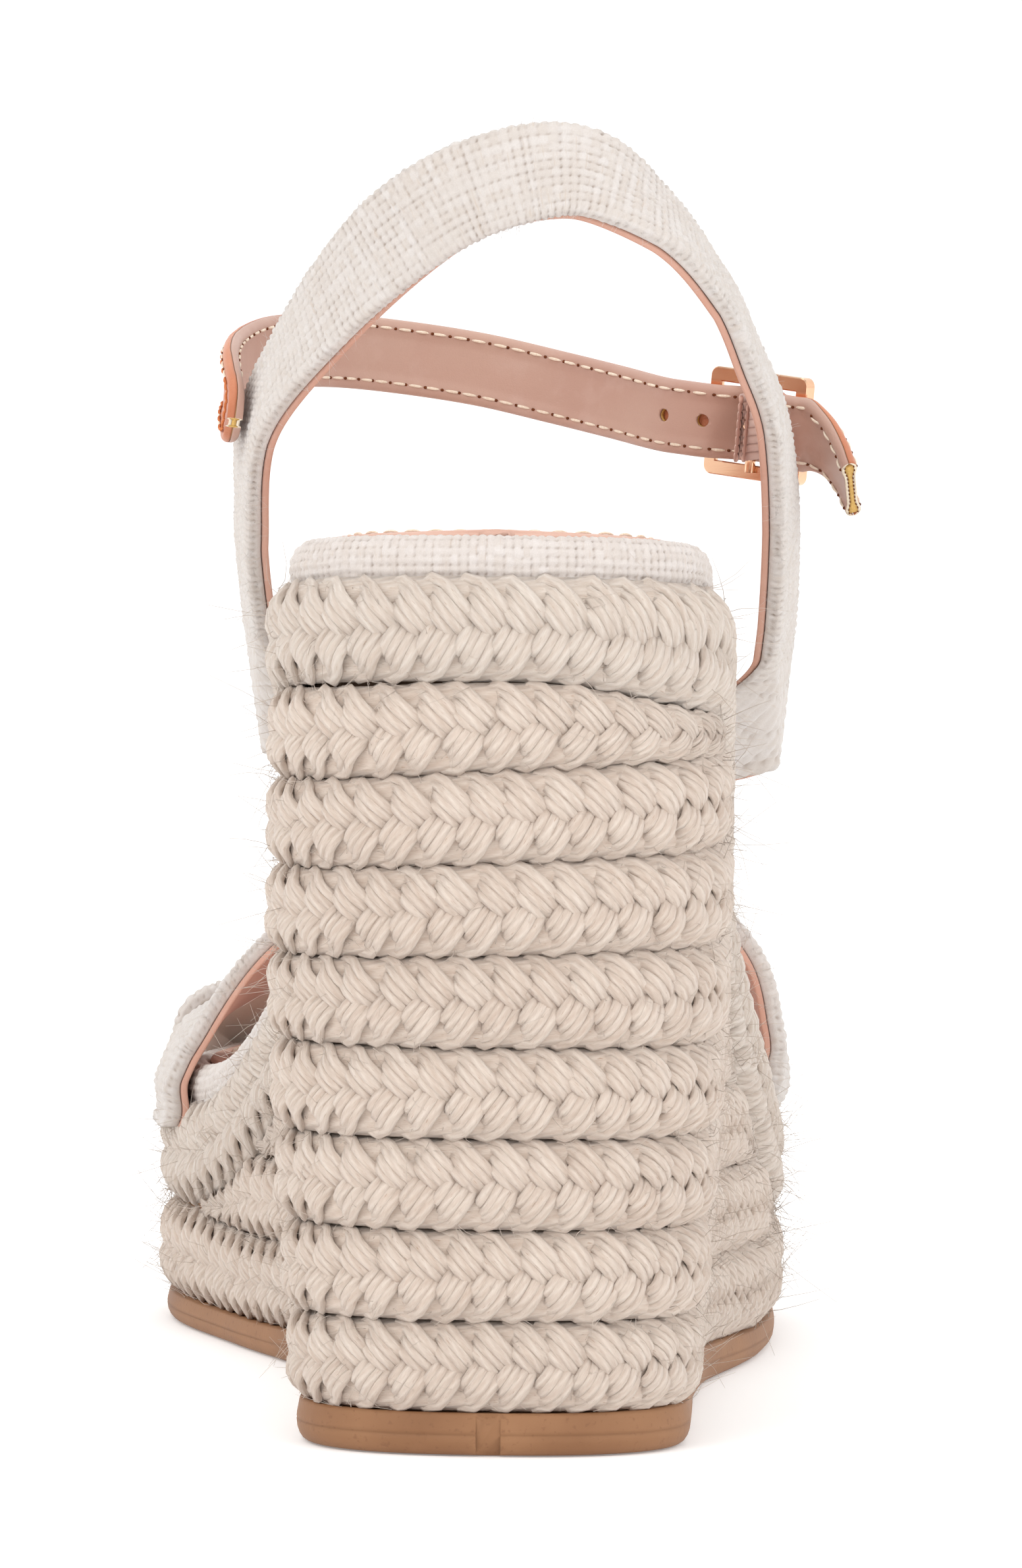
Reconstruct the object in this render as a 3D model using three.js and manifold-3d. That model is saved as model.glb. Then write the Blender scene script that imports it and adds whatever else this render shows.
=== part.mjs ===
// Wedge sandal for the right foot: a braided jute wedge, linen straps lined in leather, and an ankle strap
// with a centre-bar buckle. Millimetres, +Y to the toe, +X to the wearer's right (the outer side), +Z up.
// The origin is on the ground under the middle of the heel seat.
import * as THREE from "three";
import { mergeVertices } from "three/addons/utils/BufferGeometryUtils.js";
import Module from "manifold-3d";

const wasm = await Module();
wasm.setup();

// Driving dimensions
const heelBack = -31; // rearmost point of the braid
const toeTip = 198; // foremost point of the braid
const heelRoundFrom = -5; // the heel outline closes behind here
const toeRoundFrom = 140; // the toe outline closes ahead of here
const heelRoundPower = 2.5; // 2 is an ellipse, more is squarer
const toeRoundPower = 2.2;
const toeTipX = -15; // the toe leans to the inner side
const wallDraft = 3.6; // how far the heel wall leans in at the ground
const leanHeight = 60; // the wall starts to lean in below this height above the sole
const seatBackHeight = 110.6; // top of the braid at the back of the heel
const soleHeelThick = 5.4;
const soleToeThick = 4.0;
const toeSpring = 5.0; // lift of the toe tip
const toeSpringFrom = 150;
const fit = 0.3; // clearance between pieces that touch
const rowCount = 8; // braid rows under the border row, at the heel
const borderHeight = 12.9;
const braidDepth = 4.9; // from the crown of the braid to its inner face
const thinnestRow = 1.6; // a row ends where its neighbours have squeezed it this low
const coreInset = 5.3;
const randInset = 6.2; // inner edge of the fabric edge of the footbed
const stations = 60; // steps round the whole outline
const halterWidth = 13.5;
const bandWidth = 24;
const fabricThick = 2.2;
const liningThick = 0.9;
const ankleWidth = 9.8;
const leatherThick = 0.7;
const fillerThick = 0.3;
const layerGap = 0.2;

const vec = (x, y, z) => new THREE.Vector3(x, y, z);
const clamp01 = (t) => Math.min(Math.max(t, 0), 1);
const ease = (t) => clamp01(t) ** 2 * (3 - 2 * clamp01(t));

// A smooth function through [position, value] pairs: cubic steps, level beyond both ends.
function smoothThrough(pairs) {
  const last = pairs.length - 1;
  const slopes = pairs.map((pair, i) => {
    const before = pairs[Math.max(i - 1, 0)];
    const after = pairs[Math.min(i + 1, last)];
    return (after[1] - before[1]) / (after[0] - before[0]);
  });
  return (at) => {
    if (at <= pairs[0][0]) return pairs[0][1];
    if (at >= pairs[last][0]) return pairs[last][1];
    const i = pairs.findIndex((pair) => pair[0] > at) - 1;
    const step = pairs[i + 1][0] - pairs[i][0];
    const t = (at - pairs[i][0]) / step;
    const h01 = t * t * (3 - 2 * t);
    return (
      (1 - h01) * pairs[i][1] +
      h01 * pairs[i + 1][1] +
      step * (t * (1 - t) ** 2 * slopes[i] - t * t * (1 - t) * slopes[i + 1])
    );
  };
}

// Outline of the braid in plan: outer and inner side of the foot, before the ends are rounded off.
const outerSide = smoothThrough([
  [heelBack, 30.3], [10, 30.2], [40, 29.8], [58, 29.7], [70, 31.1], [82, 33.2], [95, 35.1], [112, 36.3],
  [140, 35.5], [170, 31], [toeTip, 24],
]);
const innerSide = smoothThrough([
  [heelBack, -30.3], [10, -30.1], [40, -28.7], [70, -32], [100, -43.5], [130, -54], [155, -54.5], [toeTip, -46],
]);

// Top line of the braid seen from the side: level heel seat, steep waist, flat forepart.
const seatLine = smoothThrough([
  [heelBack, seatBackHeight], [-5, 107.6], [15, 102], [35, 90.3], [60, 69.4], [85, 48], [100, 38], [116, 32.2],
  [135, 31], [toeTip, 31],
]);
const lift = (y) => toeSpring * clamp01((y - toeSpringFrom) / (toeTip - toeSpringFrom)) ** 2;
const topLine = (y) => seatLine(y) + lift(y);
const soleTop = (y) => lift(y) + soleHeelThick - (soleHeelThick - soleToeThick) * ease((y - 40) / 60);

// How far the wall leans in at a height: more and more towards the ground at the heel, and none in the forepart.
const leanIn = (y, z) =>
  wallDraft * clamp01(1 - (z - soleHeelThick) / leanHeight) ** 1.3 * (1 - ease((y - 20) / 70));

// Point of the outline at u (0 at the heel, 0.5 at the toe tip, outer side first), moved in by inset.
function outlinePoint(u, inset) {
  const back = heelBack + inset;
  const front = toeTip - inset;
  const y = back + ((front - back) * (1 - Math.cos(2 * Math.PI * u))) / 2;
  const turn = ((u % 1) + 1) % 1;
  const side = turn < 0.5 ? outerSide(y) - inset : innerSide(y) + inset;
  const heelT = clamp01((heelRoundFrom - y) / (heelRoundFrom - back));
  const toeT = clamp01((y - toeRoundFrom) / (front - toeRoundFrom));
  const heelClose = (1 - heelT ** heelRoundPower) ** (1 / heelRoundPower);
  const toeClose = (1 - toeT ** toeRoundPower) ** (1 / toeRoundPower);
  const x = y < toeRoundFrom ? side * heelClose : toeTipX + (side - toeTipX) * toeClose;
  return { x, y };
}

// u of the outline where it passes a given y on the outer side.
const outlineU = (y) => Math.acos(1 - (2 * (y - heelBack)) / (toeTip - heelBack)) / (2 * Math.PI);

// A closed mesh from rings of points: each ring is joined to the next, every patch is split along its
// shorter diagonal so that layers of a twisted strap stay apart, and open ends are capped with a fan.
function loft(rings, closed = false) {
  const n = rings[0].length;
  const points = rings.flat();
  const index = [];
  const spans = closed ? rings.length : rings.length - 1;
  for (let i = 0; i < spans; i++) {
    for (let j = 0; j < n; j++) {
      const a = i * n + j;
      const b = i * n + ((j + 1) % n);
      const c = ((i + 1) % rings.length) * n + j;
      const d = ((i + 1) % rings.length) * n + ((j + 1) % n);
      const shorter = points[b].distanceTo(points[c]) <= points[a].distanceTo(points[d]);
      index.push(...(shorter ? [a, c, b, b, c, d] : [a, c, d, a, d, b]));
    }
  }
  const cap = (ring, start, flip) => {
    const middle = ring.reduce((sum, p) => sum.add(p), vec(0, 0, 0)).divideScalar(n);
    const hub = points.push(middle) - 1;
    for (let j = 0; j < n; j++) {
      const pair = [start + j, start + ((j + 1) % n)];
      index.push(hub, ...(flip ? pair.reverse() : pair));
    }
  };
  if (!closed) {
    cap(rings[0], 0, false);
    cap(rings[rings.length - 1], (rings.length - 1) * n, true);
  }
  return outward(points, index);
}

// Geometry from points and triangles, turned so that its faces point out.
function outward(points, index) {
  let volume = 0;
  const cross = vec(0, 0, 0);
  for (let i = 0; i < index.length; i += 3) {
    cross.crossVectors(points[index[i + 1]], points[index[i + 2]]);
    volume += points[index[i]].dot(cross);
  }
  if (volume < 0) {
    for (let i = 0; i < index.length; i += 3) [index[i + 1], index[i + 2]] = [index[i + 2], index[i + 1]];
  }
  const geometry = new THREE.BufferGeometry().setFromPoints(points);
  geometry.setIndex(index);
  return geometry;
}

// Solids for cutting and joining
function solid(geometry) {
  const bare = geometry.clone().deleteAttribute("normal").deleteAttribute("uv");
  const merged = mergeVertices(bare, 1e-4);
  return new wasm.Manifold(
    new wasm.Mesh({
      numProp: 3,
      vertProperties: new Float32Array(merged.attributes.position.array),
      triVerts: new Uint32Array(merged.index.array),
    }),
  );
}

function fromSolid(body) {
  const mesh = body.getMesh();
  const geometry = new THREE.BufferGeometry();
  geometry.setAttribute("position", new THREE.BufferAttribute(mesh.vertProperties, 3));
  geometry.setIndex(new THREE.BufferAttribute(mesh.triVerts, 1));
  return geometry;
}

// The sandal and its finishes
const sandal = new THREE.Group();
const finishes = {
  jute: { color: 0xdcc8b0, roughness: 0.95 },
  linen: { color: 0xece2d8, roughness: 0.95 },
  lining: { color: 0xd3a08c, roughness: 0.6 },
  tan: { color: 0xbe7a52, roughness: 0.5 },
  rubber: { color: 0xa5794f, roughness: 0.55 },
  board: { color: 0x9c8466, roughness: 0.9 },
  foam: { color: 0xe8dcc0, roughness: 0.95 },
  cork: { color: 0xb08c62, roughness: 0.9 },
  elastic: { color: 0xcfaa9e, roughness: 0.85 },
  gold: { color: 0xe0b08a, roughness: 0.25, metalness: 1 },
};

function add(name, finish, geometry) {
  const material = new THREE.MeshStandardMaterial({ metalness: 0, ...finishes[finish] });
  const mesh = new THREE.Mesh(geometry, material);
  mesh.name = name;
  sandal.add(mesh);
}

// Braid rows. A row is a flat plait with two lobes and a parting groove, laid on the wall like a band.
// Each section point is [height fraction, inset from the crown].
const plaitSection = [
  [0, braidDepth], [0, 2.1], [0.24, 0.2], [0.5, 1.0], [0.76, 0.2], [1, 2.1], [1, braidDepth],
];

// Levels between rows: level 0 is the sole, the rows near the seat rise a little to the outer side.
const rowPitch = (seatBackHeight - borderHeight - soleHeelThick - fit) / rowCount;
const outerRise = [0, 0, 0, 0, 0, 0.8, 1.4, 1.8, 1.8];
const level = (k, x, y) =>
  soleTop(y) + fit + k * rowPitch + (outerRise[k] * x) / 30 + (k === 1 ? 1.2 * ease((y - 90) / 30) : 0);

// Lower edge of the border row: it follows the seat line and dips at the outer corner of the heel.
const seatSlope = (y) => (topLine(y + 0.5) - topLine(y - 0.5));
const borderLow = (x, y) =>
  topLine(y) - borderHeight * Math.sqrt(1 + seatSlope(y) ** 2) - 0.9 * ease((y - 90) / 30) -
  3 * ease((x - 5) / 25) * (1 - ease((y - 30) / 40));

function plaitRing(u, low, high) {
  return plaitSection.map(([part, inset]) => {
    const flat = outlinePoint(u, inset);
    const z0 = low(flat.x, flat.y) + part * (high(flat.x, flat.y) - low(flat.x, flat.y));
    const { x, y } = outlinePoint(u, inset + leanIn(flat.y, z0));
    const z = low(x, y) + part * (high(x, y) - low(x, y));
    return vec(x, y, z);
  });
}

function plaitLoop(low, high) {
  const steps = Array.from({ length: stations }, (_, i) => i / stations);
  return loft(steps.map((u) => plaitRing(u, low, high)), true);
}

// A row that runs round the heel and is squeezed out between its neighbours on each side of the waist.
function plaitHorseshoe(low, high, thinnest) {
  const endOn = (turn) => {
    let y = 0;
    const squeezed = (at) => {
      const ring = plaitRing(turn * outlineU(at), low, high);
      return ring[ring.length - 1].z - ring[0].z < thinnest;
    };
    while (!squeezed(y) && y < toeSpringFrom) y += 0.25;
    return turn * outlineU(y);
  };
  const start = endOn(-1);
  const end = endOn(1);
  const inside = Array.from({ length: 2 * stations }, (_, i) => (i - stations) / stations);
  const steps = [start, ...inside.filter((u) => u > start + 0.004 && u < end - 0.004), end];
  return loft(steps.map((u) => plaitRing(u, low, high)));
}

function addBraid() {
  add("jute_row_1", "jute", plaitLoop((x, y) => level(0, x, y), (x, y) => level(1, x, y) - fit));
  for (let k = 1; k < rowCount; k++) {
    const low = (x, y) => level(k, x, y);
    const high = (x, y) => Math.min(level(k + 1, x, y) - fit, borderLow(x, y) - fit);
    add(`jute_row_${k + 1}`, "jute", plaitHorseshoe(low, high, thinnestRow));
  }
  add("jute_border_row", "jute", plaitLoop(borderLow, (x, y) => topLine(y)));
}

// A slab between two heights, its outline moved in by inset. Each ring crosses the foot from side to side.
// edge lists [inset, height] down the side, with height a function of y.
function slab(edge) {
  const rings = [];
  for (let i = 1; i < stations / 2; i++) {
    const side = (u) =>
      edge.map(([inset, height]) => {
        const flat = outlinePoint(u, inset);
        const { x, y } = outlinePoint(u, inset + leanIn(flat.y, height(flat.y)));
        return vec(x, y, height(y));
      });
    rings.push([...side(i / stations), ...side(-i / stations).reverse()]);
  }
  return loft(rings);
}

// Outsole: one rubber sheet, thicker under the heel, with a parting line and an eased bottom edge.
function addOutsole() {
  const inset = 1.9;
  add("outsole", "rubber", slab([
    [inset, soleTop],
    [inset - 0.3, (y) => (soleTop(y) + lift(y)) / 2],
    [inset, (y) => lift(y) + 0.9],
    [inset + 0.9, lift],
  ]));
}

// Inside the wedge: a cork core, then the insole board, the cushion and the leather sock on top.
function addInside() {
  const above = (height) => (y) => topLine(y) + height;
  add("wedge_core", "cork", slab([[coreInset, above(-fit)], [coreInset, (y) => soleTop(y) + fit]]));
  add("insole_board", "board", slab([[randInset + fit, above(2.1)], [randInset + fit, above(fit)]]));
  add("footbed_cushion", "foam", slab([
    [randInset + 1.2, above(4.7)], [randInset + fit, above(4.0)], [randInset + fit, above(2.4)],
  ]));
  add("sock_lining", "lining", slab([[randInset + 1.4, above(5.9)], [randInset + 1.2, above(5.0)]]));
}

// The fabric edge that wraps the rim of the footbed, a rounded roll all the way round.
function addRand() {
  const section = [[randInset, fit], [4.2, fit], [3.9, 2.2], [4.3, 4.2], [5.3, 5.1], [randInset, 4.9]];
  const rings = Array.from({ length: stations }, (_, i) =>
    section.map(([inset, height]) => {
      const { x, y } = outlinePoint(i / stations, inset);
      return vec(x, y, topLine(y) + height);
    }),
  );
  add("footbed_edge_wrap", "linen", loft(rings, true));
}

// Strap frames: along a smooth line, each with its tangent, the way the face looks and the width direction.
function strapFrames(points, facing, steps, from = 0, to = 1) {
  const line = new THREE.CatmullRomCurve3(points, false, "centripetal");
  return Array.from({ length: steps + 1 }, (_, i) => {
    const t = from + ((to - from) * i) / steps;
    const at = line.getPointAt(t);
    const along = line.getTangentAt(t);
    const across = facing(at, t).cross(along).normalize();
    const face = along.clone().cross(across).normalize();
    return { at, along, across, face };
  });
}

// One layer of a strap: section points are [across, outward].
function strapRing(frame, section) {
  return section.map(([across, out]) =>
    frame.at.clone().addScaledVector(frame.across, across).addScaledVector(frame.face, out),
  );
}

const flatSection = (width, low, high) => [
  [-width / 2, low], [width / 2, low], [width / 2, high], [-width / 2, high],
];
const softSection = (width, thick) => {
  const round = thick * 0.35;
  return [
    [-width / 2, 0], [-width / 2 + round, -thick / 2], [width / 2 - round, -thick / 2],
    [width / 2, 0], [width / 2 - round, thick / 2], [-width / 2 + round, thick / 2],
  ];
};

// Ring of the strap's foot: each corner runs on along the strap until it meets the top of the border row.
function footRing(frame, section, sign) {
  return strapRing(frame, section).map((corner) => {
    const gap = (run) => {
      const p = corner.clone().addScaledVector(frame.along, sign * run);
      return p.z - topLine(p.y) - 2 * fit;
    };
    let near = 0;
    let far = 40;
    for (let i = 0; i < 30; i++) {
      const half = (near + far) / 2;
      if (gap(half) > 0) near = half;
      else far = half;
    }
    return corner.addScaledVector(frame.along, sign * near);
  });
}

function seatedStrap(frames, section) {
  const rings = frames.map((frame) => strapRing(frame, section));
  return loft([footRing(frames[0], section, -1), ...rings, footRing(frames[frames.length - 1], section, 1)]);
}

function addLinedStrap(name, frames, width) {
  add(name, "linen", seatedStrap(frames, softSection(width, fabricThick)));
  const low = -fabricThick / 2 - fit - liningThick;
  add(`${name}_lining`, "lining", seatedStrap(frames, flatSection(width - 1, low, low + liningThick)));
}

// Halter: an upside-down U round the back of the ankle, from one side of the waist to the other.
const halterLine = [
  vec(34.4, 36, 95), vec(35.4, 30.5, 105), vec(35.6, 21, 118.5), vec(34.2, 10.5, 130), vec(31.4, 2.5, 138),
  vec(27.4, -6.5, 146.6), vec(20, -14.5, 154.9), vec(9, -19, 160), vec(-3, -18.5, 157.6), vec(-13, -14.2, 151.8),
  vec(-23.8, -4.5, 141.8), vec(-32.6, 7, 129.5), vec(-34.2, 19.5, 116), vec(-33.8, 29.5, 104), vec(-32.6, 35.5, 94),
];
const halterFacing = (at) => vec(at.x, -4.5 - 22 * ease((at.z - 136) / 22), 0);
const halterSteps = 44;
const halterFrames = strapFrames(halterLine, halterFacing, halterSteps);

// Bands over the forefoot: arches that lean forward at the crown and stand on the outline at each foot.
const archCentre = vec(-9, 0, 22);
const footInset = 1.2;
const footRise = 3; // where the arch stands upright, above the braid

function bandFoot(y, side) {
  const here = outlinePoint(side * outlineU(y), footInset);
  const ahead = outlinePoint(side * outlineU(y + 2), footInset);
  const at = vec(here.x, here.y, topLine(y) + footRise);
  return { at, lean: (-side * (ahead.x - here.x)) / (ahead.y - here.y) };
}

// crown is the list of points between the two feet; crownLean tips the face forward.
function bandFrames(outerY, innerY, crown, crownLean, steps) {
  const outer = bandFoot(outerY, 1);
  const inner = bandFoot(innerY, -1);
  const facing = (at) => {
    const arch = at.clone().sub(archCentre).setY(0);
    const side = at.x > archCentre.x ? outer.lean : inner.lean;
    return arch.setY((side + (crownLean - side) * ease((at.z - 38) / 16)) * arch.length());
  };
  return strapFrames([outer.at, ...crown, inner.at], facing, steps);
}

const instepFrames = bandFrames(122, 134, [
  vec(35, 122.1, 39), vec(34.2, 122.3, 43.5), vec(31.2, 123.5, 50.5), vec(24, 126, 58), vec(10, 129.5, 64.5),
  vec(-8, 132, 66.5), vec(-25, 133.5, 61.8), vec(-37, 134, 53.5), vec(-44, 134, 47.6), vec(-48.4, 134, 43.4),
  vec(-51.4, 134, 39.6),
], 0.25, 26);
const toeFrames = bandFrames(155, 163, [
  vec(31, 155.2, 38.2), vec(29.8, 155.5, 42), vec(24, 157, 47), vec(9, 160, 51.2), vec(-10, 162.5, 52.5),
  vec(-28, 163.5, 49.8), vec(-39, 163.5, 45.8), vec(-45, 163.4, 42.6), vec(-49.5, 163.2, 39.6),
], 0.2, 22);

// Buckle frame of reference: along the strap to its tail, out from the ankle, and up the strap's width.
const buckleAt = vec(30.8, 38, 128.5);
const buckleAlong = vec(0.8, -0.6, -0.1).normalize();
const buckleUp = vec(0, 0, 1).addScaledVector(buckleAlong, -buckleAlong.z).normalize();
const buckleOut = buckleUp.clone().cross(buckleAlong).normalize();
const buckleMatrix = new THREE.Matrix4()
  .makeBasis(buckleAlong, buckleOut, buckleUp)
  .setPosition(buckleAt);
const fromBuckle = (along, out, up = 0) => vec(along, out, up).applyMatrix4(buckleMatrix);

const frameLength = 16;
const frameHeight = 15.6;
const frameBar = 1.7; // width of each side of the buckle
const frameThick = 1.8;
const frameLow = 1.3; // inner face of the frame, out from the strap's line
const barOut = 1.0; // centre bar, out from the strap's line
const barRadius = 0.7;
const prongWidth = 1.2;
const prongRing = 1.65; // outer radius of the prong's eye
const slotHalf = 0.95; // half width of the strap's prong hole
const tailSplit = 9.4; // where the loose tail starts, along from the centre bar

// Ankle strap: from the outer face of the halter's inner leg, round the front of the ankle, and through the
// buckle: under the near side, over the centre bar, under the far side.
const sewnTo = halterFrames[Math.round(0.765 * halterSteps)];
const strapStart = sewnTo.at.clone().addScaledVector(sewnTo.face, 3.1).addScaledVector(sewnTo.across, 2);
const ankleLine = [
  strapStart, vec(-37, 14, 135.8), vec(-36.8, 26, 138.2), vec(-33.2, 38.5, 139.1), vec(-25.5, 49.5, 138.5),
  vec(-15.5, 57, 137.1), vec(-5, 60, 135.3), vec(5, 58, 133.1), vec(13, 52, 131.3), fromBuckle(-13, -1.2),
  fromBuckle(-9.6, -1.2), fromBuckle(-7.4, -0.9), fromBuckle(-5.8, -0.2), fromBuckle(-3, 2.6), fromBuckle(0, 4.0),
  fromBuckle(3, 2.6), fromBuckle(5.8, -0.2), fromBuckle(7.4, -0.9), fromBuckle(tailSplit, -1.1),
];
const ankleFacing = (at) => vec(at.x, (at.y - 20) * 0.9, 0);

// Leather strap layers: tan outer leather, a thin filler, and the pink lining.
const strapLayers = [
  ["", "tan", layerGap + fillerThick / 2, layerGap + fillerThick / 2 + leatherThick, 0],
  ["_filler", "foam", -fillerThick / 2, fillerThick / 2, 1.6],
  ["_lining", "lining", -layerGap - fillerThick / 2 - leatherThick, -layerGap - fillerThick / 2, 0],
];

function prismAt(along0, along1, out0, out1, up) {
  const box = new THREE.BoxGeometry(along1 - along0, out1 - out0, 2 * up);
  box.translate((along0 + along1) / 2, (out0 + out1) / 2, 0);
  return box.applyMatrix4(buckleMatrix);
}

function addAnkleStrap() {
  const frames = strapFrames(ankleLine, ankleFacing, 64);
  const hole = solid(prismAt(-0.4, 5.6, -3, 8, slotHalf));
  for (const [suffix, finish, low, high, narrower] of strapLayers) {
    const layer = loft(frames.map((f) => strapRing(f, flatSection(ankleWidth - narrower, low, high))));
    add(`ankle_strap${suffix}`, finish, fromSolid(solid(layer).subtract(hole)));
  }
}

// Loose tail of the strap: it turns back and droops from the buckle. Its root tapers so that it can bend.
function addStrapTail() {
  const root = fromBuckle(tailSplit + 1.8, -1.2);
  const line = [root, vec(41.2, 28.4, 126), vec(43.1, 25.6, 123.3), vec(44.3, 22.8, 120.6)];
  const tipFacing = vec(0.75, 0.42, 0.5);
  const frames = strapFrames(line, (at, t) => buckleOut.clone().lerp(tipFacing, t), 12);
  for (const [suffix, finish, low, high, narrower] of strapLayers) {
    const rings = frames.map((frame, i) => {
      const thin = i === 0 ? 0.25 : 1;
      return strapRing(frame, flatSection(ankleWidth - narrower, low * thin, high * thin));
    });
    add(`strap_tail${suffix}`, finish, loft(rings));
  }
}

// Elastic that ties the buckle to the halter: one ribbon folded round the centre bar, both ends sewn inside
// the halter's outer leg. A slot at the fold lets the prong through.
function addElastic() {
  const thick = 0.6;
  const turnRadius = barRadius + 0.25 + thick / 2;
  const bar = fromBuckle(0, barOut);
  const toHalter = vec(-0.03, -1, 0).normalize();
  const outwards = vec(1, -0.03, 0).normalize();
  const ply = (run, side) => bar.clone().addScaledVector(toHalter, run).addScaledVector(outwards, side);
  const turn = [75, 45, 15, -15, -45, -75].map((angle) => {
    const a = THREE.MathUtils.degToRad(angle);
    return ply(-turnRadius * Math.cos(a), turnRadius * Math.sin(a));
  });
  const line = [ply(26, 0.1), ply(18, -0.1), ply(8, 0.9), ply(0.6, turnRadius), ...turn,
    ply(0.6, -turnRadius), ply(8, -1.6), ply(18, -1.1), ply(26, -0.9)];
  const curve = new THREE.CatmullRomCurve3(line, false, "centripetal");
  const steps = 40;
  const rings = Array.from({ length: steps + 1 }, (_, i) => {
    const at = curve.getPointAt(i / steps);
    const along = curve.getTangentAt(i / steps);
    const across = buckleUp.clone();
    const face = along.clone().cross(across).normalize();
    return strapRing({ at, across, face }, flatSection(8.6, -thick / 2, thick / 2));
  });
  const slot = solid(prismAt(-3, 3, -2.2, 3.2, slotHalf + 0.5));
  add("elastic_chape", "elastic", fromSolid(solid(loft(rings)).subtract(slot)));
}

// Buckle: a bevelled rectangular frame with a round centre bar, lower than the frame.
function addBuckle() {
  const bevel = 0.35;
  const outer = new THREE.Shape();
  const halfL = frameLength / 2 - bevel;
  const halfH = frameHeight / 2 - bevel;
  const corner = 1.2;
  outer.moveTo(-halfL + corner, -halfH);
  outer.lineTo(halfL - corner, -halfH);
  outer.quadraticCurveTo(halfL, -halfH, halfL, -halfH + corner);
  outer.lineTo(halfL, halfH - corner);
  outer.quadraticCurveTo(halfL, halfH, halfL - corner, halfH);
  outer.lineTo(-halfL + corner, halfH);
  outer.quadraticCurveTo(-halfL, halfH, -halfL, halfH - corner);
  outer.lineTo(-halfL, -halfH + corner);
  outer.quadraticCurveTo(-halfL, -halfH, -halfL + corner, -halfH);
  const openL = frameLength / 2 - frameBar + bevel;
  const openH = frameHeight / 2 - frameBar + bevel;
  const opening = new THREE.Path();
  opening.moveTo(-openL, -openH);
  opening.lineTo(-openL, openH);
  opening.lineTo(openL, openH);
  opening.lineTo(openL, -openH);
  opening.lineTo(-openL, -openH);
  outer.holes.push(opening);
  const frame = new THREE.ExtrudeGeometry(outer, {
    depth: frameThick - 2 * bevel, bevelEnabled: true, bevelThickness: bevel, bevelSize: bevel, bevelSegments: 1,
    curveSegments: 3,
  });
  frame.rotateX(Math.PI / 2); // the shape's y becomes up, its depth points in
  frame.translate(0, frameLow + frameThick - bevel, 0);
  const bar = new THREE.CylinderGeometry(barRadius, barRadius, frameHeight - frameBar, 12);
  bar.rotateX(Math.PI / 2).translate(0, barOut, 0);
  const joined = fromSolid(solid(frame).add(solid(bar)));
  add("buckle_frame", "gold", joined.applyMatrix4(buckleMatrix));
}

// Prong: an eye round the centre bar and a straight shank, through the strap, to rest on the far side.
function addProng() {
  const eye = new THREE.LatheGeometry(
    [[0.95, -0.6], [prongRing, -0.6], [prongRing, 0.6], [0.95, 0.6], [0.95, -0.6]].map(
      ([r, h]) => new THREE.Vector2(r, h * prongWidth / 1.2),
    ),
    16,
  );
  eye.rotateX(Math.PI / 2).translate(0, barOut, 0);
  const tipAlong = frameLength / 2 + 0.5;
  const tipOut = frameLow + frameThick + 0.15;
  const side = new THREE.Shape();
  side.moveTo(0.3, barOut + 1.05);
  side.lineTo(1.5, barOut + 0.5);
  side.lineTo(tipAlong - 1.6, tipOut);
  side.lineTo(tipAlong, tipOut);
  side.lineTo(tipAlong - 0.1, tipOut + 0.5);
  side.lineTo(tipAlong - 1.2, tipOut + 1.0);
  side.lineTo(0.6, barOut + 1.6);
  const shank = new THREE.ExtrudeGeometry(side, { depth: prongWidth, bevelEnabled: false });
  shank.translate(0, 0, -prongWidth / 2);
  const joined = fromSolid(solid(eye).add(solid(shank)));
  add("buckle_prong", "gold", joined.applyMatrix4(buckleMatrix));
}

addOutsole();
addInside();
addBraid();
addRand();
addLinedStrap("halter_strap", halterFrames, halterWidth);
addLinedStrap("instep_band", instepFrames, bandWidth);
addLinedStrap("toe_band", toeFrames, bandWidth - 3);
addAnkleStrap();
addStrapTail();
addElastic();
addBuckle();
addProng();

export default sandal;
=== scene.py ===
import math
import bpy
import numpy as np
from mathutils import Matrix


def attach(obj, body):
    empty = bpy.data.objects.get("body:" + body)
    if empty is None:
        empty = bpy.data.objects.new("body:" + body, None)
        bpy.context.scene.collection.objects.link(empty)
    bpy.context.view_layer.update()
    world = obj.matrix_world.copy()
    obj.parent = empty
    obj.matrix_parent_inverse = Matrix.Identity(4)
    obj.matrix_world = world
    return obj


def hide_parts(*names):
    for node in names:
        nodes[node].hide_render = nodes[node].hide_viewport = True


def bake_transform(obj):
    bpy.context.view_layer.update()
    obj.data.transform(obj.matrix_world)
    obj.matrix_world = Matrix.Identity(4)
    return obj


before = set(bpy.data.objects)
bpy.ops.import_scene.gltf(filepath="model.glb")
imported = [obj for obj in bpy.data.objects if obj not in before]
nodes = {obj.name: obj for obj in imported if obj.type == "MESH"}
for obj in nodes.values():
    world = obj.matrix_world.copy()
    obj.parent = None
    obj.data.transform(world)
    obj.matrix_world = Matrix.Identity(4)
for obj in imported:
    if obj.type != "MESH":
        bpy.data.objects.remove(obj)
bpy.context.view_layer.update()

mm = 0.001 # every length below is in millimetres, and meshes are written in metres
rng = np.random.default_rng(21)


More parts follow.
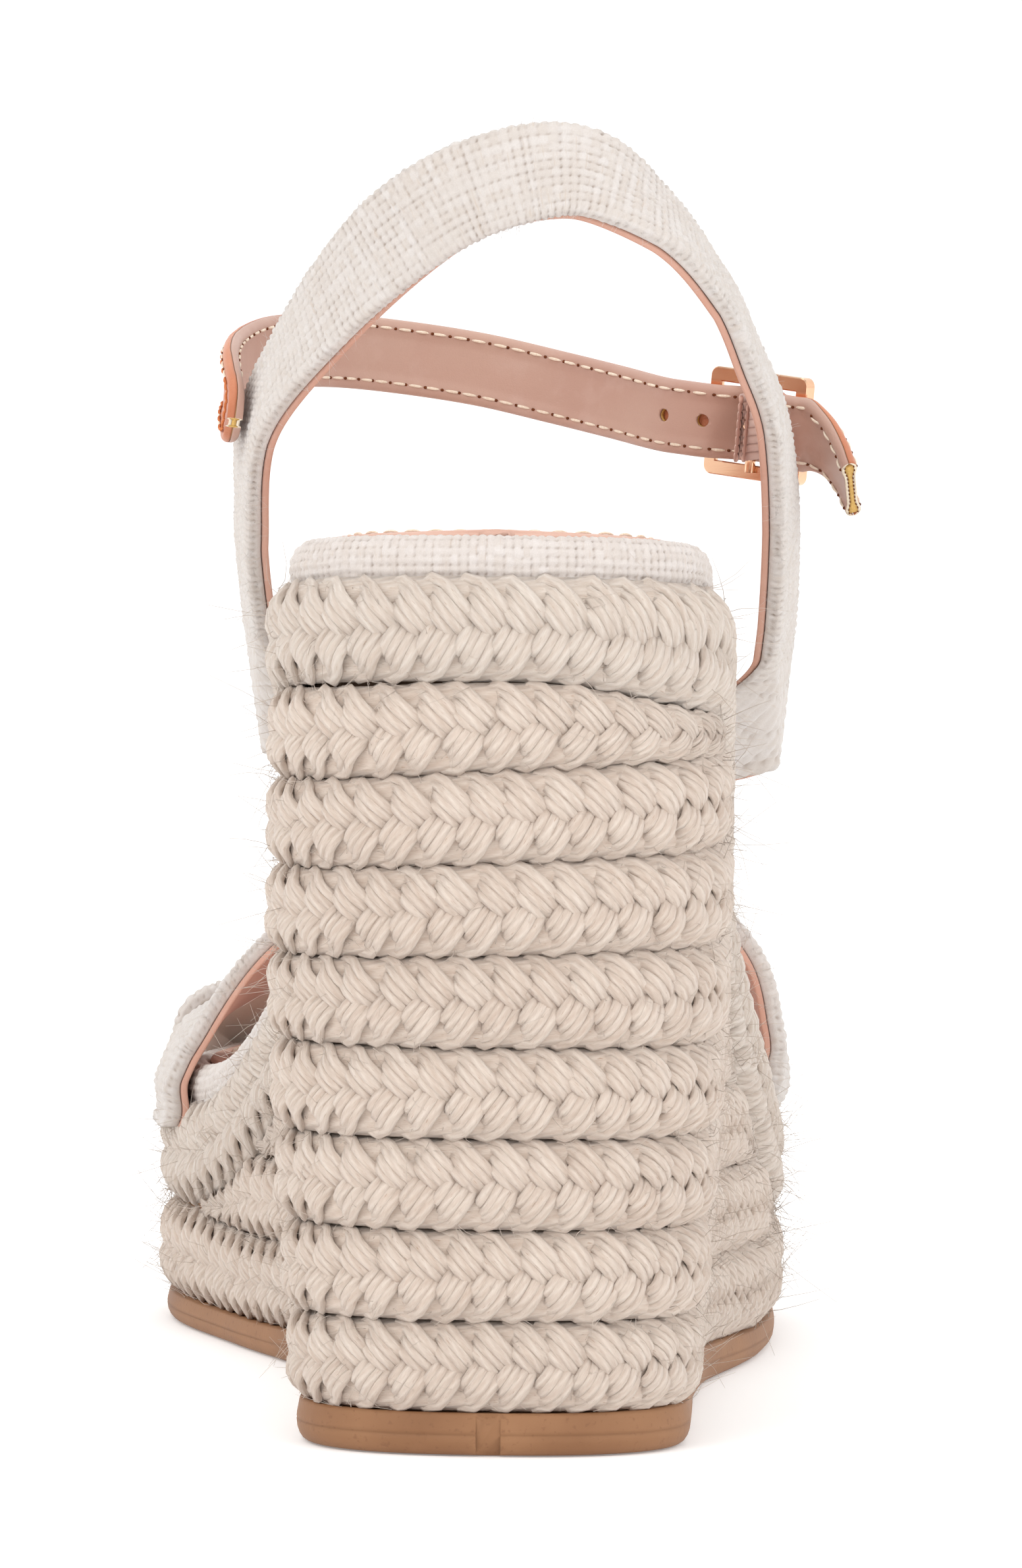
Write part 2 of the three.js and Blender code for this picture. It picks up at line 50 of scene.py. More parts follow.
# the shape of the wedge, on the same lines as the solids
wedge = {
    "heelBack": -31.0,
    "toeTip": 198.0,
    "heelRoundFrom": -5.0,
    "toeRoundFrom": 140.0,
    "heelRoundPower": 2.5,
    "toeRoundPower": 2.2,
    "toeTipX": -15.0,
    "wallDraft": 3.6,
    "draftPower": 1.3,
    "draftFadeFrom": 20.0, # the lean dies away from here towards the toe
    "draftFadeOver": 70.0,
    "leanHeight": 60.0, # the wall starts to lean in below this height above the sole
    "seatBackHeight": 110.6,
    "soleHeelThick": 5.4,
    "soleToeThick": 4.0,
    "soleThinFrom": 40.0,
    "soleThinOver": 60.0,
    "toeSpring": 5.0,
    "toeSpringFrom": 150.0,
    "fit": 0.3,
    "rowCount": 8,
    "borderHeight": 12.9,
}
# along the shoe, how far out each side stands and how high the top is
outerPairs = [(-31, 30.3), (10, 30.2), (40, 29.8), (58, 29.7), (70, 31.1), (82, 33.2), (95, 35.1),
              (112, 36.3), (140, 35.5), (170, 31), (198, 24)]
innerPairs = [(-31, -30.3), (10, -30.1), (40, -28.7), (70, -31.5), (100, -42.3), (130, -52.2),
              (155, -52.7), (198, -45)]
seatPairs = [(-31, 110.6), (-5, 107.6), (15, 102), (35, 90.3), (60, 69.4), (85, 48), (100, 38),
             (116, 32.2), (135, 31), (198, 31)]


def clamp01(t):
    return np.clip(t, 0.0, 1.0)


def ease(t):
    t = clamp01(t)
    return t * t * (3 - 2 * t)


# cubic steps through the pairs, each slope taken from the two neighbours, level beyond both ends
def smoothThrough(pairs):
    at, value = np.array(pairs, float).T
    before = np.r_[0, np.arange(len(at) - 1)]
    after = np.r_[np.arange(1, len(at)), len(at) - 1]
    slope = (value[after] - value[before]) / (at[after] - at[before])

    def read(y):
        y = np.clip(np.asarray(y, float), at[0], at[-1])
        i = np.clip(np.searchsorted(at, y, side="right") - 1, 0, len(at) - 2)
        step = at[i + 1] - at[i]
        t = (y - at[i]) / step
        h = ease(t)
        rise = t * (1 - t) ** 2 * slope[i] - t * t * (1 - t) * slope[i + 1]
        return (1 - h) * value[i] + h * value[i + 1] + step * rise

    return read


outerSide = smoothThrough(outerPairs)
innerSide = smoothThrough(innerPairs)
seatLine = smoothThrough(seatPairs)


def lift(y):
    share = clamp01((y - wedge["toeSpringFrom"]) / (wedge["toeTip"] - wedge["toeSpringFrom"]))
    return wedge["toeSpring"] * share ** 2


def topLine(y):
    return seatLine(y) + lift(y)


def soleTop(y):
    thinner = ease((y - wedge["soleThinFrom"]) / wedge["soleThinOver"])
    return lift(y) + wedge["soleHeelThick"] - (wedge["soleHeelThick"] - wedge["soleToeThick"]) * thinner


# how far the wall stands in from the outline at height z
def leanIn(y, z):
    drop = clamp01(1 - (z - wedge["soleHeelThick"]) / wedge["leanHeight"]) ** wedge["draftPower"]
    return wedge["wallDraft"] * drop * (1 - ease((y - wedge["draftFadeFrom"]) / wedge["draftFadeOver"]))


# plan outline at u (0 at the heel, 0.5 at the toe, outer side first), moved in by inset:
# y goes as a cosine, and each end is closed by a superellipse
def outlinePoint(u, inset):
    u = np.asarray(u, float)
    back = wedge["heelBack"] + inset
    front = wedge["toeTip"] - inset
    y = back + (front - back) * (1 - np.cos(2 * np.pi * u)) / 2
    side = np.where(np.mod(u, 1) < 0.5, outerSide(y) - inset, innerSide(y) + inset)
    heelT = clamp01((wedge["heelRoundFrom"] - y) / (wedge["heelRoundFrom"] - back))
    toeT = clamp01((y - wedge["toeRoundFrom"]) / (front - wedge["toeRoundFrom"]))
    heelClose = clamp01(1 - heelT ** wedge["heelRoundPower"]) ** (1 / wedge["heelRoundPower"])
    toeClose = clamp01(1 - toeT ** wedge["toeRoundPower"]) ** (1 / wedge["toeRoundPower"])
    toeX = wedge["toeTipX"] + (side - wedge["toeTipX"]) * toeClose
    return np.where(y < wedge["toeRoundFrom"], side * heelClose, toeX), y


def outlineU(y):
    return np.arccos(1 - 2 * (y - wedge["heelBack"]) / (wedge["toeTip"] - wedge["heelBack"])) / (2 * np.pi)


levels = {
    "outerRise": [0, 0, 0, 0, 0, 0.8, 1.4, 1.8, 1.8], # how far each row's foot climbs to the outer side
    "riseOver": 30.0,
    "forefootFrom": 90.0,
    "forefootOver": 30.0,
    "firstThicker": 1.2, # in the forefoot
    "borderDeeper": 0.9, # in the forefoot
    "borderDip": 3.0, # on the outer side, from the heel to the waist
    "dipAcross": (5.0, 25.0), # from, over
    "dipAlong": (30.0, 40.0),
}
rowSpace = wedge["seatBackHeight"] - wedge["borderHeight"] - wedge["soleHeelThick"] - wedge["fit"]
rowPitch = rowSpace / wedge["rowCount"]


def forefoot(y):
    return ease((y - levels["forefootFrom"]) / levels["forefootOver"])


# height of the foot of row k, counted from 0
def level(k, x, y):
    thicker = levels["firstThicker"] * forefoot(y) if k == 1 else 0
    rise = levels["outerRise"][k] * x / levels["riseOver"]
    return soleTop(y) + wedge["fit"] + k * rowPitch + rise + thicker


# the foot of the border row, whose height is measured square to the slope of the top
def borderLow(x, y):
    slope = topLine(y + 0.5) - topLine(y - 0.5)
    (fromX, overX), (fromY, overY) = levels["dipAcross"], levels["dipAlong"]
    dip = levels["borderDip"] * ease((x - fromX) / overX) * (1 - ease((y - fromY) / overY))
    height = wedge["borderHeight"] * np.sqrt(1 + slope ** 2)
    return topLine(y) - height - levels["borderDeeper"] * forefoot(y) - dip


# smooth noise from -1 to 1: random values on a seeded lattice, read at x (and y) with eased steps
# from one value to the next
def softNoise(x, y=0.0, seed=0):
    size = 256
    lattice = np.random.default_rng(seed).uniform(-1, 1, (size + 1, size + 1))
    x, y = np.broadcast_arrays(np.asarray(x, float), np.asarray(y, float))
    i, j = np.floor(x).astype(int), np.floor(y).astype(int)
    fx, fy = ease(x - i), ease(y - j)
    i0, i1, j0, j1 = i % size, (i + 1) % size, j % size, (j + 1) % size
    a = lattice[i0, j0] * (1 - fx) + lattice[i1, j0] * fx
    b = lattice[i0, j1] * (1 - fx) + lattice[i1, j1] * fx
    return a * (1 - fy) + b * fy


def unit(v):
    return v / np.maximum(np.linalg.norm(v, axis=-1, keepdims=True), 1e-9)


# direction along a line of points, from the difference of each point's neighbours
def tangents(points, closed=False):
    if closed:
        return unit(np.roll(points, -1, axis=-2) - np.roll(points, 1, axis=-2))
    return unit(np.gradient(points, axis=-2))


# distance along a line of points, from its first
def runLength(points):
    steps = np.linalg.norm(np.diff(points, axis=-2), axis=-1)
    return np.concatenate([np.zeros(steps.shape[:-1] + (1,)), np.cumsum(steps, axis=-1)], axis=-1)


# A grid of points (tubes, along, across, 3) as a closed skin. u runs across and v along, both in millimetres.
# It is turned to face out where its signed volume comes out negative.
def gridPart(points, u, v, wrapAlong=False, tone=0.0, hollow=0.0, finish=0, capFinish=None):
    points = np.asarray(points, float)
    if points.ndim == 3:
        points = points[None]
    tubes, n, m = points.shape[:3]
    index = np.arange(tubes * n * m).reshape(tubes, n, m)
    i0 = np.arange(n if wrapAlong else n - 1)
    i1 = (i0 + 1) % n
    j0 = np.arange(m)
    j1 = (j0 + 1) % m
    corner = [index[:, i][:, :, j] for i, j in ((i0, j0), (i1, j0), (i1, j1), (i0, j1))]
    quads = np.stack(corner, -1).reshape(-1, 4)
    v = np.broadcast_to(np.atleast_2d(v), (tubes, n + 1 if wrapAlong else n))
    u = np.asarray(u, float)
    shape = (tubes, len(i0), m)
    cornerU = [np.broadcast_to(u[j], shape) for j in (j0, j0, j0 + 1, j0 + 1)]
    cornerV = [np.broadcast_to(v[:, i][..., None], shape) for i in (i0, i0 + 1, i0 + 1, i0)]
    uv = np.stack([np.stack(cornerU, -1), np.stack(cornerV, -1)], -1).reshape(-1, 2)
    flat = points.reshape(-1, 3)
    p0, p1, p2, p3 = (flat[quads[:, k]] for k in range(4))
    volume = np.einsum("ij,ij->", p0, np.cross(p1, p2)) + np.einsum("ij,ij->", p0, np.cross(p2, p3))
    loops = [quads.reshape(-1)]
    sizes = [np.full(len(quads), 4)]
    uvs = [uv]
    marks = [np.full(len(quads), finish)]
    if not wrapAlong:
        caps = np.concatenate([index[:, 0], index[:, -1, ::-1]])
        loops.append(caps.reshape(-1))
        sizes.append(np.full(len(caps), m))
        capU = np.concatenate([np.tile(u[:m], tubes), np.tile(u[:m][::-1], tubes)])
        capV = np.repeat(np.concatenate([v[:, 0], v[:, -1]]), m)
        uvs.append(np.stack([capU, capV], -1))
        marks.append(np.full(len(caps), finish if capFinish is None else capFinish))
    part = {
        "points": flat,
        "loops": np.concatenate(loops),
        "sizes": np.concatenate(sizes),
        "uv": np.concatenate(uvs),
        "marks": np.concatenate(marks),
        "tone": np.broadcast_to(np.asarray(tone, float), (tubes, n, m)).reshape(-1),
        "hollow": np.broadcast_to(np.asarray(hollow, float), (tubes, n, m)).reshape(-1),
    }
    if volume < 0:
        flip(part)
    return part


# each face's corners in the opposite order
def flip(part):
    ends = np.cumsum(part["sizes"])
    first = np.repeat(ends - part["sizes"], part["sizes"])
    last = np.repeat(ends - 1, part["sizes"])
    back = first + last - np.arange(len(part["loops"]))
    part["loops"] = part["loops"][back]
    part["uv"] = part["uv"][back]


def joined(parts):
    offsets = np.cumsum([0] + [len(p["points"]) for p in parts[:-1]])
    whole = {k: np.concatenate([p[k] for p in parts]) for k in parts[0] if k != "loops"}
    whole["loops"] = np.concatenate([p["loops"] + o for p, o in zip(parts, offsets)])
    return whole


def build(name, parts, materials, smooth=True):
    part = joined(parts if isinstance(parts, list) else [parts])
    mesh = bpy.data.meshes.new(name)
    mesh.vertices.add(len(part["points"]))
    mesh.vertices.foreach_set("co", (part["points"] * mm).astype(np.float32).ravel())
    mesh.loops.add(len(part["loops"]))
    mesh.loops.foreach_set("vertex_index", part["loops"].astype(np.int32))
    mesh.polygons.add(len(part["sizes"]))
    starts = np.cumsum(part["sizes"]) - part["sizes"]
    mesh.polygons.foreach_set("loop_start", starts.astype(np.int32))
    mesh.polygons.foreach_set("material_index", part["marks"].astype(np.int32))
    mesh.update(calc_edges=True)
    mesh.uv_layers.new(name="cut").data.foreach_set("uv", part["uv"].astype(np.float32).ravel())
    for key in ("tone", "hollow"):
        mesh.attributes.new(key, "FLOAT", "POINT").data.foreach_set("value", part[key].astype(np.float32))
    mesh.polygons.foreach_set("use_smooth", np.full(len(part["sizes"]), smooth))
    for m in materials if isinstance(materials, list) else [materials]:
        mesh.materials.append(m)
    mesh.validate()
    piece = bpy.data.objects.new(name, mesh)
    bpy.context.scene.collection.objects.link(piece)
    return piece


# Round tubes along lines (tubes, along, 3): each ring is the line's point plus an ellipse in its side and
# up axes
def tubePart(lines, side, up, halfSide, halfUp, sides, closed=False, tone=0.0, start=0.0):
    angle = np.arange(sides) / sides * 2 * np.pi
    halfSide = np.broadcast_to(np.asarray(halfSide, float), lines.shape[:-1])[..., None, None]
    halfUp = np.broadcast_to(np.asarray(halfUp, float), lines.shape[:-1])[..., None, None]
    wide = halfSide * np.cos(angle)[:, None] * side[..., None, :]
    high = halfUp * np.sin(angle)[:, None] * up[..., None, :]
    points = lines[..., None, :] + (wide + high)
    v = runLength(lines)
    if closed:
        last = v[:, -1:] + np.linalg.norm(lines[:, 0] - lines[:, -1], axis=-1)[:, None]
        v = np.concatenate([v, last], axis=1)
    around = 2 * np.pi * float(np.sqrt(halfSide.max() * halfUp.max()))
    u = np.arange(sides + 1) / sides * around
    tone = np.asarray(tone, float)
    if tone.ndim:
        tone = np.broadcast_to(tone[..., None] if tone.ndim == 2 else tone[:, None, None], points.shape[:-1])
    return gridPart(points, u, v + np.reshape(start, (-1, 1)), wrapAlong=closed, tone=tone)


stitch = {"points": 6, "sides": 6, "bow": 0.16, "taper": 0.8, "flat": 0.8, "tone": 0.5}
hair = {"points": 4, "sides": 3, "taper": 0.6, "tone": 0.8}


# Stitches: short tubes that bow up in the middle as 1 minus t squared, and thin to their ends
def stitchPart(centre, along, up, length, half):
    t = np.linspace(-1, 1, stitch["points"])[None, :, None]
    up = np.broadcast_to(up, centre.shape)
    side = unit(np.cross(along, up))
    up = unit(np.cross(side, along))
    lines = centre[:, None] + along[:, None] * t * length / 2 + up[:, None] * (stitch["bow"] * (1 - t ** 2))
    thin = half * np.sqrt(1 - stitch["taper"] * t[..., 0] ** 2) * np.ones((len(centre), 1))
    shape = lines.shape
    return tubePart(lines, np.broadcast_to(side[:, None], shape), np.broadcast_to(up[:, None], shape), thin,
                    thin * stitch["flat"], stitch["sides"], tone=stitch["tone"])


# Loose fibres: each starts at a point, runs out along way and bends over as t squared
def hairPart(start, way, bend, length, radius, seed):
    t = np.linspace(0, 1, hair["points"])[None, :, None]
    lines = start[:, None] + length[:, None, None] * (way[:, None] * t + bend[:, None] * t ** 2)
    along = tangents(lines)
    side = unit(np.cross(along, unit(np.random.default_rng(seed).normal(size=start.shape))[:, None]))
    thin = radius * (1 - hair["taper"] * t[..., 0]) * np.ones((len(start), 1))
    return tubePart(lines, side, np.cross(side, along), thin, thin, hair["sides"], tone=hair["tone"])


# a colour given from 0 to 255 as the eye sees it
def shade(r, g, b):
    c = np.array([r, g, b]) / 255
    c = np.where(c <= 0.04045, c / 12.92, ((c + 0.055) / 1.055) ** 2.4)
    return (float(c[0]), float(c[1]), float(c[2]), 1.0)


def put(tree, kind, inputs=None, **settings):
    made = tree.nodes.new(kind)
    for key, value in settings.items():
        setattr(made, key, value)
    for key, value in (inputs or {}).items():
        if isinstance(value, bpy.types.NodeSocket):
            tree.links.new(value, made.inputs[key])
        else:
            made.inputs[key].default_value = value
    return made


def calc(tree, operation, a, b=0.0, c=0.0, clamp=False):
    return put(tree, "ShaderNodeMath", {0: a, 1: b, 2: c}, operation=operation, use_clamp=clamp).outputs[0]


def mixColour(tree, factor, a, b, blend="MIX"):
    return put(tree, "ShaderNodeMix", {0: factor, 6: a, 7: b}, data_type="RGBA", blend_type=blend).outputs[2]


def noise(tree, vector, scale, detail=3.0, roughness=0.5):
    inputs = {"Vector": vector, "Scale": scale, "Detail": detail, "Roughness": roughness}
    return put(tree, "ShaderNodeTexNoise", inputs).outputs["Fac"]


def stretch(tree, vector, x, y, z=1.0):
    return put(tree, "ShaderNodeMapping", {"Vector": vector, "Scale": (x, y, z)}).outputs[0]


# brings a value to 0 at low and 1 at high
def between(tree, value, low, high):
    inputs = {"Value": value, "From Min": low, "From Max": high}
    return put(tree, "ShaderNodeMapRange", inputs, clamp=True).outputs[0]


def newMaterial(name, **sockets):
    made = bpy.data.materials.new(name)
    made.use_nodes = True
    tree = made.node_tree
    shader = tree.nodes["Principled BSDF"]
    for key, value in sockets.items():
        shader.inputs[key.replace("_", " ")].default_value = value
    return made, tree, shader


# a point's place on the piece laid flat, in millimetres
def flatPlace(tree):
    return put(tree, "ShaderNodeUVMap", uv_map="cut").outputs[0]


# a point's place in space, in metres
def ownPlace(tree):
    return put(tree, "ShaderNodeTexCoord").outputs["Object"]


def attribute(tree, name):
    return put(tree, "ShaderNodeAttribute", attribute_name=name).outputs["Fac"]


def bump(tree, shader, height, strength, distance):
    made = put(tree, "ShaderNodeBump", {"Height": height, "Strength": strength, "Distance": distance * mm})
    tree.links.new(made.outputs[0], shader.inputs["Normal"])


yarnLook = {
    "plyRound": 1.15, # one ply's turn, round the yarn and along it
    "plyAlong": 3.4,
    "fibre": (9.0, 0.9), # how fine each noise is, round the yarn and along it
    "coarse": (2.2, 0.25),
    "fleck": (5.0, 0.55),
}


# Jute yarn: fibres run along the yarn, its two plies wind round it, and darker flecks follow the fibres. The
# groove between the plies is painted darker as shade
def juteMaterial(name, light, dark, fleck):
    made, tree, shader = newMaterial(name, Roughness=0.88, Sheen_Weight=0.25, Sheen_Roughness=0.6,
                                     Specular_IOR_Level=0.25)
    cut = flatPlace(tree)
    parts = put(tree, "ShaderNodeSeparateXYZ", {0: cut})
    winds = calc(tree, "MULTIPLY", parts.outputs[0], 2 * math.pi / yarnLook["plyRound"])
    runs = calc(tree, "MULTIPLY", parts.outputs[1], 2 * math.pi / yarnLook["plyAlong"])
    ply = calc(tree, "SINE", calc(tree, "ADD", winds, runs))
    ply = calc(tree, "MULTIPLY_ADD", ply, 0.5, 0.5)
    fibre = noise(tree, stretch(tree, cut, *yarnLook["fibre"]), 1.0, 4.0, 0.65)
    coarse = noise(tree, stretch(tree, cut, *yarnLook["coarse"]), 1.0, 2.0)
    patch = noise(tree, ownPlace(tree), 45.0)
    tone = attribute(tree, "tone")
    # the ply term paints the groove between the plies darker: painted shade
    mix = calc(tree, "MULTIPLY_ADD", between(tree, fibre, 0.3, 0.7), 0.34, calc(tree, "MULTIPLY", ply, 0.22))
    mix = calc(tree, "ADD", mix, calc(tree, "MULTIPLY", between(tree, coarse, 0.3, 0.7), 0.25))
    mix = calc(tree, "ADD", mix, calc(tree, "MULTIPLY", tone, 0.22))
    mix = calc(tree, "ADD", mix, calc(tree, "MULTIPLY_ADD", patch, 0.3, -0.1), clamp=True)
    colour = mixColour(tree, mix, dark, light)
    flecks = between(tree, noise(tree, stretch(tree, cut, *yarnLook["fleck"]), 1.3, 2.0), 0.66, 0.74)
    colour = mixColour(tree, calc(tree, "MULTIPLY", flecks, 0.75), colour, fleck)
    tree.links.new(colour, shader.inputs["Base Color"])
    height = calc(tree, "MULTIPLY_ADD", ply, 0.6, calc(tree, "MULTIPLY", fibre, 0.9))
    bump(tree, shader, height, 0.75, 0.22)
    return made


# Woven linen: the threads are in the mesh, so tone and the painted shade of the hollows between threads come
# with it, and the fibres are added here
def linenMaterial(name, light, dark, gap, slub):
    made, tree, shader = newMaterial(name, Roughness=0.92, Sheen_Weight=0.3, Sheen_Roughness=0.5,
                                     Specular_IOR_Level=0.2)
    cut = flatPlace(tree)
    tone = attribute(tree, "tone")
    hollow = attribute(tree, "hollow")
    fine = noise(tree, cut, 7.0, 4.0, 0.7)
    streak = noise(tree, stretch(tree, cut, 0.35, 2.4), 1.0, 2.0)
    fibres = calc(tree, "MULTIPLY", between(tree, fine, 0.3, 0.7), 0.35)
    mix = calc(tree, "ADD", calc(tree, "MULTIPLY", tone, 0.75), fibres, clamp=True)
    colour = mixColour(tree, mix, dark, light)
    slubs = calc(tree, "MULTIPLY", between(tree, streak, 0.6, 0.72), 0.3)
    colour = mixColour(tree, slubs, colour, slub)
    # the hollows between the threads are painted towards the gap colour: painted shade
    colour = mixColour(tree, calc(tree, "MULTIPLY", hollow, 0.75), colour, gap)
    tree.links.new(colour, shader.inputs["Base Color"])
    bump(tree, shader, fine, 0.5, 0.16)
    return made


# Leather: a grain of fine cells, cloudy mottling with worn patches, and a nap of hairs that suede has more of
def leatherMaterial(name, base, deep, worn, roughness, grainDepth=0.05, suede=0.0):
    made, tree, shader = newMaterial(name, Specular_IOR_Level=0.4, Sheen_Weight=0.1, Sheen_Roughness=0.5)
    place = ownPlace(tree)
    grain = put(tree, "ShaderNodeTexVoronoi", {"Vector": place, "Scale": 2600.0}, feature="DISTANCE_TO_EDGE")
    cells = between(tree, grain.outputs["Distance"], 0.0, 0.12)
    soft = noise(tree, place, 160.0, 4.0, 0.6)
    cloud = noise(tree, place, 60.0, 2.0)
    hairs = noise(tree, place, 2600.0, 3.0, 0.7)
    colour = mixColour(tree, between(tree, cloud, 0.25, 0.75), deep, base)
    colour = mixColour(tree, calc(tree, "MULTIPLY", between(tree, soft, 0.55, 0.75), 0.35), colour, worn)
    nap = calc(tree, "MULTIPLY", between(tree, hairs, 0.35, 0.65), 0.12 + 0.25 * suede)
    colour = mixColour(tree, nap, colour, deep)
    tree.links.new(colour, shader.inputs["Base Color"])
    rough = calc(tree, "MULTIPLY_ADD", soft, 0.2, roughness - 0.1)
    tree.links.new(rough, shader.inputs["Roughness"])
    raised = calc(tree, "MULTIPLY", hairs, 0.4 + suede)
    height = calc(tree, "ADD", calc(tree, "MULTIPLY", cells, 1 - suede), raised)
    bump(tree, shader, height, 0.35, grainDepth)
    return made


def rubberMaterial():
    made, tree, shader = newMaterial("soleRubber", Specular_IOR_Level=0.35)
    place = ownPlace(tree)
    cloud = noise(tree, place, 70.0)
    speck = noise(tree, place, 1400.0, 2.0)
    colour = mixColour(tree, between(tree, cloud, 0.3, 0.7), shade(133, 92, 61), shade(154, 112, 79))
    specks = calc(tree, "MULTIPLY", between(tree, speck, 0.6, 0.72), 0.4)
    colour = mixColour(tree, specks, colour, shade(116, 78, 53))
    tree.links.new(colour, shader.inputs["Base Color"])
    tree.links.new(calc(tree, "MULTIPLY_ADD", cloud, 0.2, 0.5), shader.inputs["Roughness"])
    bump(tree, shader, speck, 0.4, 0.08)
    return made


# Elastic web: fine picks across it as a sine of the way along with painted shade between the picks, and
# painted shade where the ribs part
def elasticMaterial():
    pickPitch = 0.42
    made, tree, shader = newMaterial("elasticWeb", Roughness=0.8, Sheen_Weight=0.3, Sheen_Roughness=0.4)
    parts = put(tree, "ShaderNodeSeparateXYZ", {0: flatPlace(tree)})
    pick = calc(tree, "SINE", calc(tree, "MULTIPLY", parts.outputs[1], 2 * math.pi / pickPitch))
    hollow = attribute(tree, "hollow")
    fine = noise(tree, ownPlace(tree), 2200.0)
    shadow = calc(tree, "MULTIPLY_ADD", pick, 0.12, 0.3)
    colour = mixColour(tree, shadow, shade(226, 188, 172), shade(198, 158, 144))
    # where the ribs part the colour is painted darker as shade
    colour = mixColour(tree, calc(tree, "MULTIPLY", hollow, 0.8), colour, shade(160, 114, 100))
    tree.links.new(colour, shader.inputs["Base Color"])
    bump(tree, shader, calc(tree, "MULTIPLY_ADD", pick, 0.5, fine), 0.4, 0.12)
    return made


def goldMaterial():
    made, tree, shader = newMaterial("roseGold", Metallic=1.0)
    place = ownPlace(tree)
    haze = noise(tree, place, 260.0)
    lines = noise(tree, stretch(tree, place, 400.0, 400.0, 6000.0), 1.0, 2.0)
    colour = mixColour(tree, haze, shade(226, 176, 142), shade(246, 206, 172))
    tree.links.new(colour, shader.inputs["Base Color"])
    tree.links.new(calc(tree, "MULTIPLY_ADD", haze, 0.12, 0.08), shader.inputs["Roughness"])
    bump(tree, shader, lines, 0.12, 0.02)
    return made


# thread, foam, cork and board: one noise between two colours
def plainFibre(name, light, dark, scale):
    made, tree, shader = newMaterial(name, Roughness=0.9, Specular_IOR_Level=0.25)
    fine = noise(tree, ownPlace(tree), scale, 4.0, 0.65)
    tree.links.new(mixColour(tree, between(tree, fine, 0.3, 0.7), dark, light), shader.inputs["Base Color"])
    bump(tree, shader, fine, 0.6, 0.15)
    return made


jute = juteMaterial("juteYarn", shade(225, 212, 200), shade(189, 166, 149), shade(165, 128, 101))
juteBorder = juteMaterial("juteBorderYarn", shade(223, 213, 203), shade(191, 171, 155), shade(168, 134, 107))
# the third colour of each linen is the painted shade in the hollows between threads
strapLinen = linenMaterial("strapLinen", shade(217, 212, 209), shade(193, 180, 168), shade(144, 120, 102),
                           shade(193, 173, 153))
randLinen = linenMaterial("randLinen", shade(222, 216, 213), shade(193, 179, 167), shade(137, 113, 94),
                          shade(193, 171, 151))
liningLeather = leatherMaterial("liningLeather", shade(209, 166, 148), shade(194, 144, 124),
                                shade(218, 185, 172), 0.6, suede=0.4)
strapLining = leatherMaterial("strapLining", shade(190, 156, 140), shade(180, 141, 126),
                              shade(201, 171, 160), 0.48, grainDepth=0.03)
toeLining = leatherMaterial("toeLining", shade(236, 220, 208), shade(222, 202, 188),
                            shade(244, 232, 222), 0.6)
tanLeather = leatherMaterial("tanLeather", shade(204, 132, 96), shade(184, 110, 76),
                             shade(216, 152, 118), 0.42)
sockLeather = leatherMaterial("sockLeather", shade(219, 182, 166), shade(206, 164, 146),
                              shade(227, 198, 184), 0.62, suede=0.5)
soleRubber = rubberMaterial()
elasticWeb = elasticMaterial()
roseGold = goldMaterial()
creamThread = plainFibre("creamThread", shade(244, 232, 216), shade(224, 202, 178), 3500.0)
orangeThread = plainFibre("orangeThread", shade(214, 132, 84), shade(186, 104, 60), 3500.0)
# a dark brown for the painted shade inside needle holes and seams
needleHole = plainFibre("needleHole", shade(120, 66, 36), shade(86, 44, 24), 2500.0)
goldFiller = plainFibre("goldFiller", shade(222, 184, 112), shade(196, 152, 84), 2200.0)
cutEdge = plainFibre("cutEdge", shade(240, 228, 208), shade(222, 204, 180), 2600.0)
corkCore = plainFibre("corkCore", shade(176, 146, 122), shade(146, 114, 90), 420.0)
foamPad = plainFibre("foamPad", shade(236, 224, 198), shade(214, 198, 166), 900.0)
boardFibre = plainFibre("boardFibre", shade(166, 142, 112), shade(140, 116, 88), 700.0)
print("materials made")


braid = {
    "period": 14.0, # one strand's full wave along the row
    "stations": 24, # steps in a period
    "centreInset": 2.0, # middle of the plait, in from the crown
    "fullHeight": 11.06,
    "yarns": 4, # in a strand
    "yarnGap": 1.0, # between the yarns of a strand
    "yarnHalf": 0.76,
    "yarnLift": 0.62,
    "yarnSides": 6,
    "overlap": 0.6, # how far a row is pressed into the next
    "edgeSunk": 1.35,
    "evenSunk": 0.2,
    "straight": 0.8, # how far the strands' wave is drawn out into straight diagonals
    "unevenTurn": 0.3,
    "shear": -0.16,
    "weaveDepth": 1.2,
    "outerDrop": 0.12, # the outer yarns of a strand lie lower
    "wobble": 0.14,
    "thinnest": 1.6,
    "fillIn": 1.35, # the flat strand behind the others: how far in, and its half thickness
    "fillHalf": 1.4,
    "fillProud": 0.1,
    # a low tone: the filler is painted darker, as shade behind the strands
    "fillTone": 0.2,
}


